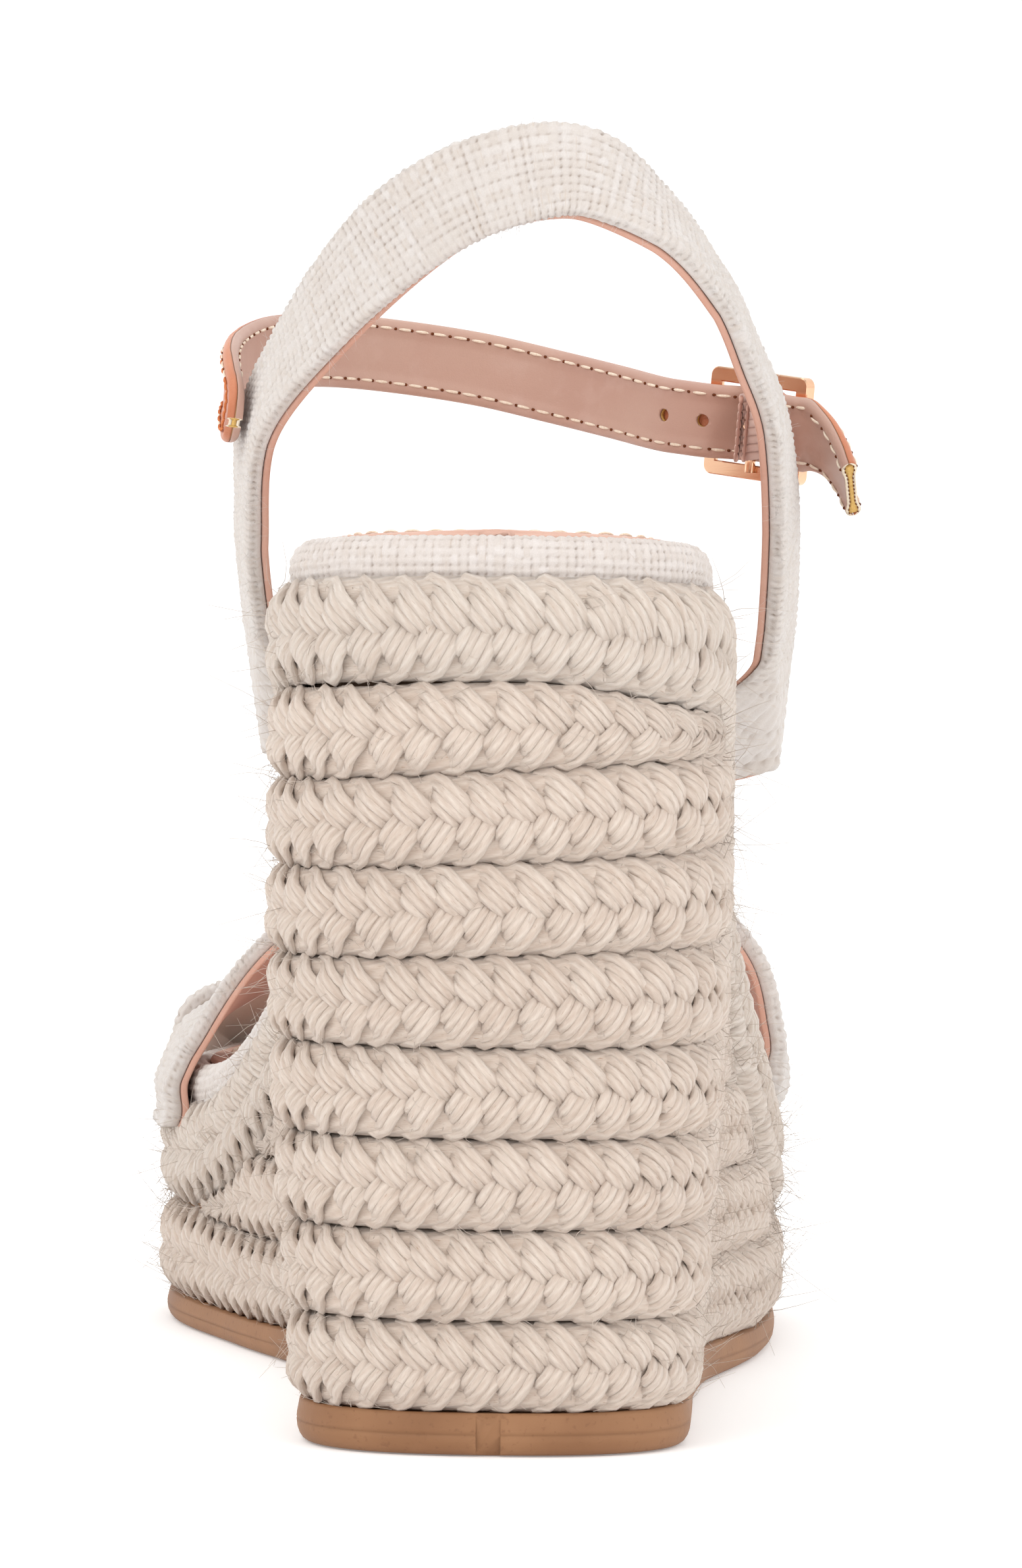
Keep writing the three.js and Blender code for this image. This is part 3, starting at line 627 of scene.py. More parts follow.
# Middle line of a row, evenly spaced, with its outward and upward directions and its height across
def rowLine(low, high, uFrom, uTo, closed):
    u = np.linspace(uFrom, uTo, 6000)
    x, y = outlinePoint(u, braid["centreInset"])
    z = (low(x, y) + high(x, y)) / 2
    inset = braid["centreInset"] + leanIn(y, z)
    x, y = outlinePoint(u, inset)
    line = np.stack([x, y, (low(x, y) + high(x, y)) / 2], -1)
    run = runLength(line)
    total = run[-1]
    count = max(int(round(total / braid["period"])), 1) * braid["stations"]
    at = np.linspace(0, total, count + 1)
    at = at[:-1] if closed else at
    line = np.stack([np.interp(at, run, line[:, k]) for k in range(3)], -1)
    gap = high(line[:, 0], line[:, 1]) - low(line[:, 0], line[:, 1])
    along = tangents(line, closed)
    plan = unit(along * (1, 1, 0))
    out = np.stack([plan[:, 1], -plan[:, 0], np.zeros(len(plan))], -1)
    up = unit(np.cross(out, along))
    height = gap * np.linalg.norm(along[:, :2], axis=-1)
    return line, along, out, up, height, at / total * count / braid["stations"]


# A three-strand flat plait: each strand zigzags across the row and goes in and out as a sine of twice the
# turn, a third of a turn after the one before, so that it passes over and under. Each strand is a flat bundle
# of yarns.
def plaitPart(low, high, uFrom, uTo, closed, seed):
    line, along, out, up, height, turns = rowLine(low, high, uFrom, uTo, closed)
    scale = np.clip(height / braid["fullHeight"], 0.3, 1.12)
    strand = np.arange(3)[:, None]
    ends = np.sin(np.pi * np.arange(len(turns)) / len(turns)) ** 0.25 if closed else 1.0
    uneven = softNoise(turns[None] * 1.1, strand * 7.3 + 0.5, seed) * braid["unevenTurn"] * ends
    theta = 2 * np.pi * (turns[None] + strand / 3) + uneven
    bundle = (braid["yarns"] - 1) / 2
    reach = scale * (bundle * braid["yarnGap"] + braid["yarnHalf"] * 0.92)
    wave = np.maximum(height / 2 + braid["overlap"] - 0.85 * reach, 0.05)
    zigzag = 2 / np.pi * np.arcsin(0.985 * np.sin(theta))
    across = wave * (braid["straight"] * zigzag + (1 - braid["straight"]) * np.sin(theta))
    sunk = braid["edgeSunk"] * np.abs(across / wave) ** 4 + braid["evenSunk"]
    depth = scale * (-braid["weaveDepth"] * np.sin(2 * theta) - sunk)
    centre = (line[None] + across[..., None] * up[None] + depth[..., None] * out[None] +
              (braid["shear"] * across)[..., None] * along[None])
    side = unit(np.cross(tangents(centre, closed), np.broadcast_to(out[None], centre.shape)))
    yarn = (np.arange(braid["yarns"]) - bundle)[None, :, None]
    rows = (strand[:, None] * braid["yarns"] + np.arange(braid["yarns"])[None, :, None]) * 5.7 + 0.5
    s = turns[None, None] * braid["period"]
    wobbleSide = braid["wobble"] * softNoise(s / 4.3, rows, seed + 5) * ends
    wobbleOut = braid["wobble"] * softNoise(s / 3.7, rows, seed + 9) * ends
    lateral = yarn * braid["yarnGap"] * scale + wobbleSide
    drop = -braid["outerDrop"] * yarn ** 2 * scale + wobbleOut
    paths = centre[:, None] + lateral[..., None] * side[:, None] + drop[..., None] * out
    count = 3 * braid["yarns"]
    paths = paths.reshape(count, len(turns), 3)
    alongYarn = tangents(paths, closed)
    sideYarn = unit(np.cross(alongYarn, np.broadcast_to(out[None], paths.shape)))
    liftYarn = unit(np.cross(sideYarn, alongYarn))
    fat = 1 + 0.1 * softNoise(s / 5.1, rows + 40, seed + 11).reshape(count, -1)
    tone = 0.5 + 0.5 * softNoise(s / 22.0, rows + 80, seed + 13).reshape(count, -1)
    tone = tone + np.random.default_rng(seed).uniform(-0.2, 0.2, (count, 1))
    # a flat strand down the middle fills the row behind the others; its low tone paints it darker, as shade
    # behind the strands
    middle = line - braid["fillIn"] * scale[:, None] * out
    wide, high = 0.5 * height + braid["fillProud"], braid["fillHalf"] * scale
    inside = tubePart(middle[None], up[None], out[None], wide[None], high[None], 10, closed,
                      braid["fillTone"])
    wide, high = braid["yarnHalf"] * scale * fat, braid["yarnLift"] * scale * fat
    around = tubePart(paths, sideYarn, liftYarn, wide, high, braid["yarnSides"], closed, tone,
                      np.arange(count) * 173.0 + seed * 31.0)
    return [inside, around]


# where the rows below the border are squeezed out, on each side of the waist
def squeezedAt(low, high, turn):
    y = np.arange(0, wedge["toeSpringFrom"], 0.25)
    x, yy = outlinePoint(turn * outlineU(y), braid["centreInset"])
    thin = np.nonzero(high(x, yy) - low(x, yy) < braid["thinnest"])[0]
    return turn * outlineU(y[thin[0]] if len(thin) else y[-1])


def addBraid():
    for k in range(wedge["rowCount"]):
        name = f"jute_row_{k + 1}"
        low = lambda x, y, k=k: level(k, x, y)
        if k == 0:
            high = lambda x, y: level(1, x, y) - wedge["fit"]
            part = plaitPart(low, high, -0.25, 0.75, True, 5)
        else:
            high = lambda x, y, k=k: np.minimum(level(k + 1, x, y), borderLow(x, y)) - wedge["fit"]
            uFrom, uTo = squeezedAt(low, high, -1), squeezedAt(low, high, 1)
            part = plaitPart(low, high, uFrom, uTo, False, 5 + 17 * k)
        row = build(f"juteRow{k + 1}", part, jute)
        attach(row, "sandal")
        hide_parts(name)
    part = plaitPart(borderLow, lambda x, y: topLine(y), -0.25, 0.75, True, 301)
    border = build("juteBorderRow", part, juteBorder)
    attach(border, "sandal")
    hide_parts("jute_border_row")


addBraid()
print("braid laid")


# centripetal Catmull-Rom line through the points, read at even steps
def smoothLine(points, steps, start=0.0, end=1.0):
    p = np.array(points, float)
    p = np.vstack([2 * p[0] - p[1], p, 2 * p[-1] - p[-2]])
    p0, p1, p2, p3 = p[:-3], p[1:-2], p[2:-1], p[3:]
    a, b, c = (np.linalg.norm(q - o, axis=1)[:, None] ** 0.5 for o, q in ((p0, p1), (p1, p2), (p2, p3)))
    t1 = ((p1 - p0) / a - (p2 - p0) / (a + b) + (p2 - p1) / b) * b
    t2 = ((p2 - p1) / b - (p3 - p1) / (b + c) + (p3 - p2) / c) * b
    t = (np.arange(100) / 100)[None, :, None]
    q0, q1, q2, q3 = (v[:, None] for v in (p1, t1, -3 * p1 + 3 * p2 - 2 * t1 - t2, 2 * p1 - 2 * p2 + t1 + t2))
    dense = np.vstack([(q0 + q1 * t + q2 * t ** 2 + q3 * t ** 3).reshape(-1, 3), p[-2]])
    run = runLength(dense)
    at = run[-1] * np.linspace(start, end, steps + 1)
    return np.stack([np.interp(at, run, dense[:, k]) for k in range(3)], -1)


# the same line in steps of nearly the given length
def evenLine(points, step):
    length = runLength(smoothLine(points, 400))[-1]
    return smoothLine(points, max(int(round(length / step)), 4))


# a strap's line with its direction, its width direction and the way its face looks
def strapFrames(points, facing, step):
    at = evenLine(points, step)
    along = tangents(at)
    across = unit(np.cross(facing(at), along))
    face = unit(np.cross(along, across))
    return at, along, across, face


# a section carried along a strap: each ring is the line's point plus the section's steps across and out
def ringsOf(frames, across, out):
    at, wide, face = frames[0], frames[2], frames[3]
    return at[:, None] + across[..., None] * wide[:, None] + out[..., None] * face[:, None]


# distance round a section
def girthOf(across, out):
    return np.r_[0, np.cumsum(np.hypot(np.diff(across), np.diff(out)))]


halter = {
    "line": [(34.4, 36, 95), (35.4, 30.5, 105), (35.6, 21, 118.5), (34.2, 10.5, 130), (31.4, 2.5, 138),
             (27.2, -6.5, 147), (20, -14.5, 155.7), (9.5, -19, 161.2), (-3, -18.5, 158.9),
             (-13.4, -14.2, 152.6), (-23.8, -4.5, 142), (-32, 7, 129.5), (-33.8, 19.5, 116),
             (-33.4, 29.5, 104), (-32.2, 35.5, 94)],
    "width": 12.4,
    # along the strap, how far its face is turned from sideways (0) to backwards (90)
    "turn": [(0, 10), (0.14, 9), (0.27, 6), (0.34, 8), (0.4, 22), (0.46, 58), (0.51, 84), (0.58, 80),
             (0.64, 56), (0.7, 38), (0.77, 20), (0.84, 12), (1, 10)],
    "tuck": 6.6, # how far each foot is tucked in
}
linen = {
    "thick": 2.2,
    "pitch": 1.12, # one thread
    "samples": 4, # steps in a thread
    "threadRise": 0.38,
    "overUnder": 0.27,
    "sink": 0.5, # the cloth's middle lies this far under the strap's face
    "edgeRound": 0.75,
    "wander": 0.22,
    "uneven": 0.28, # in thickness and in tone
    "tone": 0.6,
    # below this height the weave's face is painted in shade, fully so the next distance lower
    "hollowBelow": 0.36,
    "hollowOver": 0.28,
    "noiseFrom": 40,
}
lining = {"thick": 0.9, "gap": 0.05, "narrower": 0.5, "edge": 0.25}
foot = {
    "depth": 3.2, # how far a strap's foot goes down under the top of the braid
    "rings": 26,
    "halvings": 30,
    "longest": 20.0,
    "clear": 1.0,
    "tuckFrom": 3.5,
    "tuckOver": 6.0,
}


def halterFacing(at):
    along = tangents(at)
    backwards = unit(along * along[:, 1:2] - np.array([0.0, 1.0, 0.0]))
    run = runLength(at)
    turn = np.radians(smoothThrough(halter["turn"])(run / run[-1]))[:, None]
    return np.sin(turn) * backwards + np.cos(turn) * np.cross(along, backwards)


# Plain weave. Warp thread i runs along and weft thread j across. Each is a half-round ridge that rises where
# it goes over and sinks where it goes under, as a cosine; the cloth's face is the higher of the two.
def weave(a, b, seed):
    a = a + linen["wander"] * softNoise(b * 0.21, a * 0.5, seed)
    b = b + linen["wander"] * softNoise(a * 0.21 + 50, b * 0.5, seed + 1)
    i, j = np.floor(a), np.floor(b)
    ridge = lambda f: np.sqrt(np.clip(1 - (2 * f - 1) ** 2 * 0.96, 0, 1))
    thickA = 1 + linen["uneven"] * softNoise(i * 1.7, b * 0.13, seed + 2)
    thickB = 1 + linen["uneven"] * softNoise(j * 1.7 + 9, a * 0.13, seed + 3)
    warp = linen["threadRise"] * thickA * ridge(a - i) + linen["overUnder"] * np.cos(np.pi * (b - 0.5 + i))
    weft = linen["threadRise"] * thickB * ridge(b - j) - linen["overUnder"] * np.cos(np.pi * (a - 0.5 + j))
    top = np.maximum(warp, weft)
    toneA = linen["tone"] + linen["uneven"] * softNoise(i * 3.3, b * 0.17, seed + 4)
    toneB = linen["tone"] + linen["uneven"] * softNoise(j * 3.3 + 5, a * 0.17, seed + 5)
    # where the face lies low between the threads it is marked for painted shade
    hollow = clamp01((linen["hollowBelow"] - top) / linen["hollowOver"])
    return top, clamp01(np.where(warp > weft, toneA, toneB)), hollow


# the strap's rings kept where they stand clear of the braid, with each edge line run on down until it is
# under the top of the braid, and the foot tucked in towards the middle of the shoe
def seated(rings, tuck):
    clear = rings[..., 2] - topLine(rings[..., 1])
    keep = np.nonzero(clear.min(axis=1) > foot["clear"])[0]
    rings = rings[keep[0]:keep[-1] + 1]

    def run(first, second):
        way = unit(first - second)
        near = np.zeros(len(first))
        far = np.full(len(first), foot["longest"])
        for step in range(foot["halvings"]):
            half = (near + far) / 2
            p = first + way * half[:, None]
            high = p[:, 2] - topLine(p[:, 1]) + foot["depth"] > 0
            near, far = np.where(high, half, near), np.where(high, far, half)
        t = (np.arange(1, foot["rings"] + 1) / foot["rings"])[:, None, None]
        return first[None] + way[None] * near[None, :, None] * t

    rings = np.concatenate([run(rings[0], rings[1])[::-1], rings, run(rings[-1], rings[-2])])
    clear = rings[..., 2] - topLine(rings[..., 1])
    inward = ease((foot["tuckFrom"] - clear) / foot["tuckOver"]) * tuck
    middle = (outerSide(rings[..., 1]) + innerSide(rings[..., 1])) / 2
    rings[..., 0] -= np.sign(rings[..., 0] - middle) * inward
    return rings


# A linen strap: round its section goes the woven face with its folded edges, then a plain back. The weave
# stands out along the section's own outward direction.
def linenStrap(frames, width, tuck, seed):
    half, deep, bend = width / 2, linen["thick"] / 2, linen["edgeRound"]
    step = linen["pitch"] / linen["samples"]
    flat = np.arange(-half + bend, half - bend + 1e-6, step)
    turn = np.linspace(0, np.pi, 9)[1:-1]
    edge = half - bend + bend * np.sin(turn)
    c = np.concatenate([flat, edge, flat[::-4], -edge])
    facing = np.concatenate([flat * 0 + 1, np.cos(turn), flat[::-4] * 0 - 1, -np.cos(turn)])
    o = deep * facing
    girth = girthOf(c, o)
    woven = np.where(facing < -0.5, 0.0, 1.0)
    rings = seated(ringsOf(frames, c, o), tuck)
    v = runLength(rings.mean(axis=1))
    height, tone, hollow = weave(girth[None] / linen["pitch"] + linen["noiseFrom"],
                                 v[:, None] / linen["pitch"] + linen["noiseFrom"], seed)
    along = tangents(rings.transpose(1, 0, 2)).transpose(1, 0, 2)
    around = unit(np.roll(rings, -1, axis=1) - np.roll(rings, 1, axis=1))
    out = unit(np.cross(around, along))
    centre = rings.mean(axis=1, keepdims=True)
    sign = np.sign(np.sum((rings - centre) * out, axis=-1).sum())
    rings = rings + (sign * (height - linen["sink"]) * woven)[..., None] * out
    u = np.r_[girth, girth[-1] + step]
    return gridPart(rings, u, v, tone=tone[None], hollow=(hollow * woven)[None])


# The strap's lining: a flat section just behind the linen, with its long edges eased over
def liningStrap(frames, width, tuck):
    half = width / 2 - lining["narrower"] / 2
    low = -linen["thick"] / 2 - lining["gap"] - lining["thick"]
    high = low + lining["thick"]
    edge = np.array([-0.5, -0.15, 0.15, 0.5]) * lining["thick"] * 0.8
    flat = np.linspace(-half + lining["edge"], half - lining["edge"], 13)
    mid = (low + high) / 2
    c = np.concatenate([flat, np.full(len(edge), half), flat[::-1], np.full(len(edge), -half)])
    o = np.concatenate([flat * 0 + high, mid - edge, flat * 0 + low, mid + edge])
    rings = seated(ringsOf(frames, c, o), tuck)
    girth = girthOf(c, o)
    return gridPart(rings, np.r_[girth, girth[-1] + 1], runLength(rings.mean(axis=1)))


bands = {
    "archCentre": (-9.0, 0.0, 22.0),
    "footInset": 1.2,
    "footRise": 3.0,
    "leanFrom": 38.0, # above this height the face turns from standing on the outline to leaning forward
    "leanOver": 16.0,
    "tuck": 2.4,
    "instep": {
        "feet": (122.0, 134.0),
        "crown": [(35, 122.1, 39), (34.2, 122.3, 43.5), (31.2, 123.5, 50.5), (24, 126, 58), (10, 129.5, 64.5),
                  (-8, 132, 66), (-24, 133.5, 61), (-35, 134, 52.6), (-41.8, 134, 46.9), (-46.2, 134, 42.7),
                  (-49.2, 134, 39.2)],
        "lean": 0.25,
        "width": 24.0,
    },
    "toe": {
        "feet": (155.0, 163.0),
        "crown": [(31, 155.2, 38.2), (29.8, 155.5, 42), (24, 157, 47), (9, 160, 51.2), (-10, 162.5, 52.5),
                  (-27, 163.5, 49.6), (-37.6, 163.5, 45.4), (-43.4, 163.4, 42.2), (-47.8, 163.2, 39.2)],
        "lean": 0.2,
        "width": 21.0,
    },
}


# arch over the forefoot: its face leans forward at the crown and turns to stand on the outline at each foot
def bandFrames(band, step):
    ends = []
    for y, side in zip(band["feet"], (1, -1)):
        hereX, hereY = outlinePoint(side * outlineU(y), bands["footInset"])
        aheadX, aheadY = outlinePoint(side * outlineU(y + 2), bands["footInset"])
        ends.append(((float(hereX), float(hereY), float(topLine(y)) + bands["footRise"]),
                     float(-side * (aheadX - hereX) / (aheadY - hereY))))
    centre = np.array(bands["archCentre"])

    def facing(at):
        arch = (at - centre) * (1, 0, 1)
        side = np.where(at[:, 0] > centre[0], ends[0][1], ends[1][1])
        lean = side + (band["lean"] - side) * ease((at[:, 2] - bands["leanFrom"]) / bands["leanOver"])
        arch[:, 1] = lean * np.linalg.norm(arch, axis=1)
        return arch

    return strapFrames([ends[0][0], *band["crown"], ends[1][0]], facing, step)


def linedStrap(name, nodeName, frames, width, tuck, seed, liningMaterial, liningSlot):
    outer = build(name, linenStrap(frames, width, tuck, seed), strapLinen)
    inner = build(name + "Lining", liningStrap(frames, width, tuck), liningMaterial)
    for piece, node, slot in ((outer, nodeName, "strap_linen"), (inner, nodeName + "_lining", liningSlot)):
        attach(piece, "sandal")
        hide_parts(node)


threadStep = linen["pitch"] / linen["samples"]
halterFrames = strapFrames(halter["line"], halterFacing, threadStep)
instepFrames = bandFrames(bands["instep"], threadStep)
toeFrames = bandFrames(bands["toe"], threadStep)
linedStrap("halterStrap", "halter_strap", halterFrames, halter["width"], halter["tuck"], 41, liningLeather,
           "lining_leather")
linedStrap("instepBand", "instep_band", instepFrames, bands["instep"]["width"], bands["tuck"], 52,
           liningLeather, "lining_leather")
linedStrap("toeBand", "toe_band", toeFrames, bands["toe"]["width"], bands["tuck"], 63, toeLining,
           "toe_lining_leather")
print("linen straps woven")


rand = {
    "section": [(4.5, -1.6), (4.1, 0.4), (3.85, 2.2), (4.15, 3.9), (5.0, 4.95), (6.3, 5.2), (7.3, 4.7)],
    "back": [(7.3, 3.2), (7.0, 1.0), (6.4, -1.4)],
    "steps": 34, # round the woven part of the section
    "inset": 4.0,
    "sink": 0.2,
    "joinThreads": 12,
    "seed": 74,
}


# The fabric edge of the footbed: a section of (inset, height above the wedge), a smooth line of even steps,
# carried round the outline at even thread steps
def addRand():
    section = smoothLine([(a, b, 0) for a, b in rand["section"]], rand["steps"])[:, :2]
    section = np.vstack([section, rand["back"]])
    dense = np.linspace(0, 1, 8001)
    x, y = outlinePoint(dense, rand["inset"])
    run = runLength(np.stack([x, y, topLine(y)], -1))
    threads = int(round(run[-1] / linen["pitch"] / 2)) * 2
    count = threads * linen["samples"]
    u = np.interp(np.arange(count) / count * run[-1], run, dense)
    x, y = outlinePoint(u[:, None], section[None, :, 0])
    rings = np.stack([x, y, topLine(y) + section[None, :, 1]], -1)
    girth = runLength(section)
    v = np.arange(count + 1) / linen["samples"]
    a = girth[None] / linen["pitch"] + linen["noiseFrom"]
    cloth = weave(a, v[:-1, None] + linen["noiseFrom"], rand["seed"])
    # the weave is faded into its own start over the last threads, so that the loop closes
    join = ease((v[:-1] - threads + rand["joinThreads"]) / rand["joinThreads"])[:, None]
    first = weave(a, v[:-1, None] - threads + linen["noiseFrom"], rand["seed"])
    height, tone, hollow = (here * (1 - join) + start * join for here, start in zip(cloth, first))
    woven = np.r_[np.ones(rand["steps"] + 1), np.zeros(len(rand["back"]))]
    along = tangents(rings.transpose(1, 0, 2), closed=True).transpose(1, 0, 2)
    around = unit(np.gradient(rings, axis=1))
    out = unit(np.cross(along, around))
    sign = -np.sign(out[0, rand["steps"] // 3, 1]) # the first ring is at the heel, where out is backwards
    rings = rings + sign * (woven * (height - rand["sink"]))[..., None] * out
    part = gridPart(rings, np.r_[girth, girth[-1] + 1], v * linen["pitch"], wrapAlong=True, tone=tone[None],
                    hollow=(hollow * woven)[None])
    piece = build("footbedEdge", part, randLinen)
    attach(piece, "sandal")
    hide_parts("footbed_edge_wrap")


addRand()
print("footbed edge wrapped")


buckle = {
    "at": (30.8, 38.0, 128.5),
    "along": (0.8, -0.6, -0.1),
    "length": 16.0,
    "height": 14.2,
    "corner": 1.2,
    # one side of the frame: in from its outer edge, and out from the strap's line
    "profile": [(0, 1.45), (0.15, 1.3), (1.75, 1.3), (1.9, 1.45), (1.9, 1.9), (0.75, 3.05), (0.6, 3.1),
                (0.3, 3.1), (0, 2.9)],
    "barOut": 1.0,
    "barRadius": 0.7,
    "barShort": 0.95,
    "slotHalf": 0.95,
}
buckleAlong = unit(np.array(buckle["along"]))
buckleUp = unit(np.array([0.0, 0.0, 1.0]) - buckleAlong * buckleAlong[2])
buckleOut = np.cross(buckleUp, buckleAlong)


# a place given as steps from the buckle's middle, in the buckle's own directions
def fromBuckle(along, out, up=0.0):
    shares = np.broadcast_arrays(*(np.asarray(v, float)[..., None] for v in (along, out, up)))
    return np.array(buckle["at"]) + shares[0] * buckleAlong + shares[1] * buckleOut + shares[2] * buckleUp


strap = {
    # round the ankle, then through the buckle as steps along and out from its middle, then the loose tail
    "ankle": [(-35.9, 14, 133.4), (-35.3, 26, 135.8), (-31.7, 38.5, 137.5), (-24.7, 49.5, 137.8),
              (-15.5, 57, 136.9), (-5, 60, 135.3), (5, 58, 133.1), (13, 52, 131.3)],
    "threaded": [(-13, -1.4), (-9.6, -1.5), (-7.4, -1.35), (-5.8, -0.8), (-3, 2.4), (0, 4.0), (3, 2.4),
                 (5.8, -0.8), (7.4, -1.35), (9.4, -1.4), (11.2, -1.3)],
    "tail": [(41.2, 28.4, 126), (43.1, 25.6, 123.3), (44.3, 22.8, 120.6)],
    "tipFacing": (0.75, 0.42, 0.5),
    "sewnAt": 34 / 44, # along the halter
    "sewnOut": 3.1,
    "sewnUp": 2.0,
    "sewnRun": (14.1, 11.8, 9.5, 7.2), # the stitches that lead up to the rounded end
    "sewnAcross": 3.4,
    "ankleCentre": 20.0,
    "ankleFlat": 0.9,
    "half": 4.9,
    "thinHalf": 0.72,
    "edgeFuller": 0.3,
    "skin": 0.38,
    "skinGap": 0.04,
    "step": 0.5,
    "stitchAcross": 3.6,
    "stitchPitch": 2.7,
    "stitchOut": 1.0,
    "stitchLength": 1.9,
    "stitchHalf": 0.2,
    # the length of each dark mark painted as a needle hole's shade
    "needleHole": 0.5,
    "needleSunk": 0.06,
    "holes": (-18.3, -12.2, -6.1, 6.1), # from the hole in use
    "holeRadius": 0.85,
    "crease": 0.07,
}


# half thickness of the strap: thin down the middle, fuller along both edges, and rounded off at them
def strapHalf(c):
    full = strap["thinHalf"] + strap["edgeFuller"] * ease((np.abs(c) - 2.2) / 1.6)
    return np.maximum(full * np.sqrt(1 - clamp01((np.abs(c) - 3.9) / 1.0) ** 2), 0.1)


def ankleFrames():
    at, across, face = halterFrames[0], halterFrames[2], halterFrames[3]
    i = int(round(strap["sewnAt"] * (len(at) - 1)))
    start = at[i] + strap["sewnOut"] * face[i] + strap["sewnUp"] * across[i]
    points = [start, *strap["ankle"], *(fromBuckle(a, o) for a, o in strap["threaded"]), *strap["tail"]]
    root, tip = points[-1 - len(strap["tail"])][0], points[-1][0]

    # away from the ankle's middle, turning to the tip's own way along the tail
    def facing(at):
        share = clamp01((at[:, :1] - root) / (tip - root))
        y = (at[:, 1] - strap["ankleCentre"]) * strap["ankleFlat"]
        outward = unit(np.stack([at[:, 0], y, 0 * y], -1))
        return outward * (1 - share) + np.array(strap["tipFacing"]) * share

    return strapFrames(points, facing, strap["step"])


# One layer of the strap, between two heights given across it. The sewn end is rounded in plan.
def strapLayer(frames, c, low, high, seed):
    v = runLength(frames[0])
    half = strap["half"]
    narrow = np.sqrt(np.maximum(1 - clamp01(1 - v / half) ** 2, 0.02))[:, None]
    around = np.concatenate([c, c[::-1]])
    crease = strap["crease"] * softNoise(v[:, None] * 0.55, around[None] * 0.16, seed)
    crease = crease * (0.35 + 0.65 * (v < 60))[:, None]
    out = np.concatenate([high, low[::-1]])[None] + crease
    rings = ringsOf(frames, around[None] * narrow, out)
    girth = girthOf(around, out[0])
    return gridPart(rings, np.r_[girth, girth[-1] + 0.5], v, capFinish=1)


# a box in the buckle's own directions
def boxPart(along, out, half):
    corners = [(out[0], -half), (out[1], -half), (out[1], half), (out[0], half)]
    rings = np.stack([[fromBuckle(a, o, h) for o, h in corners] for a in along])
    return gridPart(rings, np.arange(5.0), [0, 1])


def cutAway(pieces, parts):
    cutter = build("cutter", parts, needleHole)
    for piece in pieces:
        made = piece.modifiers.new("cut", "BOOLEAN")
        made.operation = "DIFFERENCE"
        made.object = cutter
        made.solver = "EXACT"
        ready = piece.evaluated_get(bpy.context.evaluated_depsgraph_get())
        mesh = bpy.data.meshes.new_from_object(ready)
        piece.modifiers.clear()
        old = piece.data
        piece.data = mesh
        bpy.data.meshes.remove(old)
    bpy.data.objects.remove(cutter)


def followTail(piece, slotName, *replaced):
    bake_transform(piece)
    if replaced:
        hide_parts(*replaced)


# Tan skin, lining and the filler between them. The buckle's slot is cut through all three, and the holes
# through the lining and the filler.
def addAnkleStrap(frames):
    at, along, across, face = frames
    v = runLength(at)
    c = np.linspace(-1, 1, 45)
    c = np.sign(c) * (1 - (1 - np.abs(c)) ** 1.5) * (strap["half"] - strap["skinGap"])
    top = strapHalf(c)
    under = np.maximum(top - strap["skin"], 0.03)
    inner = np.linspace(-4.3, 4.3, 31)
    fill = np.maximum(strapHalf(inner) - strap["skin"] - strap["skinGap"], 0.02)
    outerSkin = build("ankleStrap", strapLayer(frames, c, under, top, 7), [tanLeather, cutEdge])
    innerSkin = build("ankleStrapLining", strapLayer(frames, c, -top, -under, 7), [strapLining, cutEdge])
    filler = build("ankleStrapFiller", strapLayer(frames, inner, -fill, fill, 7), [goldFiller, goldFiller])
    middle = v[np.argmin(np.linalg.norm(at - fromBuckle(3, 2.4), axis=1))]
    near = np.searchsorted(v, middle + np.array(strap["holes"]))
    ends = np.array([-3.0, 3.0])[None, :, None]
    bores = tubePart(at[near][:, None] + ends * face[near][:, None], np.repeat(along[near][:, None], 2, 1),
                     np.repeat(across[near][:, None], 2, 1), strap["holeRadius"], strap["holeRadius"], 20)
    slot = boxPart((-0.4, 5.6), (-3, 8), buckle["slotHalf"])
    cutAway([outerSkin], [slot])
    cutAway([innerSkin, filler], [slot, bores])
    followTail(outerSkin, "tan_leather", "ankle_strap", "strap_tail")
    followTail(innerSkin, "strap_lining_leather", "ankle_strap_lining", "strap_tail_lining")
    followTail(filler, "strap_filler", "ankle_strap_filler", "strap_tail_filler")


# Two rows of stitches on each face, with a dark mark between one stitch and the next as the painted shade of
# a needle hole
def addStrapStitches(frames):
    at, along, across, face = frames
    v = runLength(at)
    spots = np.arange(6.0, v[-1] - 1.0, strap["stitchPitch"])
    gaps = spots + strap["stitchPitch"] / 2
    threads, holes = [], []
    for spotAt, parts, length, sunk in ((spots, threads, strap["stitchLength"], 0.0),
                                        (gaps, holes, strap["needleHole"], strap["needleSunk"])):
        i = np.searchsorted(v, spotAt).clip(0, len(v) - 1)
        reach = np.abs((at[i] - np.array(buckle["at"])) @ buckleAlong)
        clear = np.abs(reach - buckle["length"] / 2 + 1.4) > 2.5
        for side in (-1, 1):
            for turn in (-1, 1):
                # none on the outer face where it lies under the buckle's sides
                k = i[(turn < 0) | clear]
                out = turn * (strap["stitchOut"] - sunk)
                centre = at[k] + side * strap["stitchAcross"] * across[k] + out * face[k]
                parts.append(stitchPart(centre, along[k], turn * face[k], length, strap["stitchHalf"]))
    followTail(build("strapStitches", threads, creamThread), "strap_filler")
    followTail(build("strapNeedleHoles", holes, needleHole), "strap_filler")


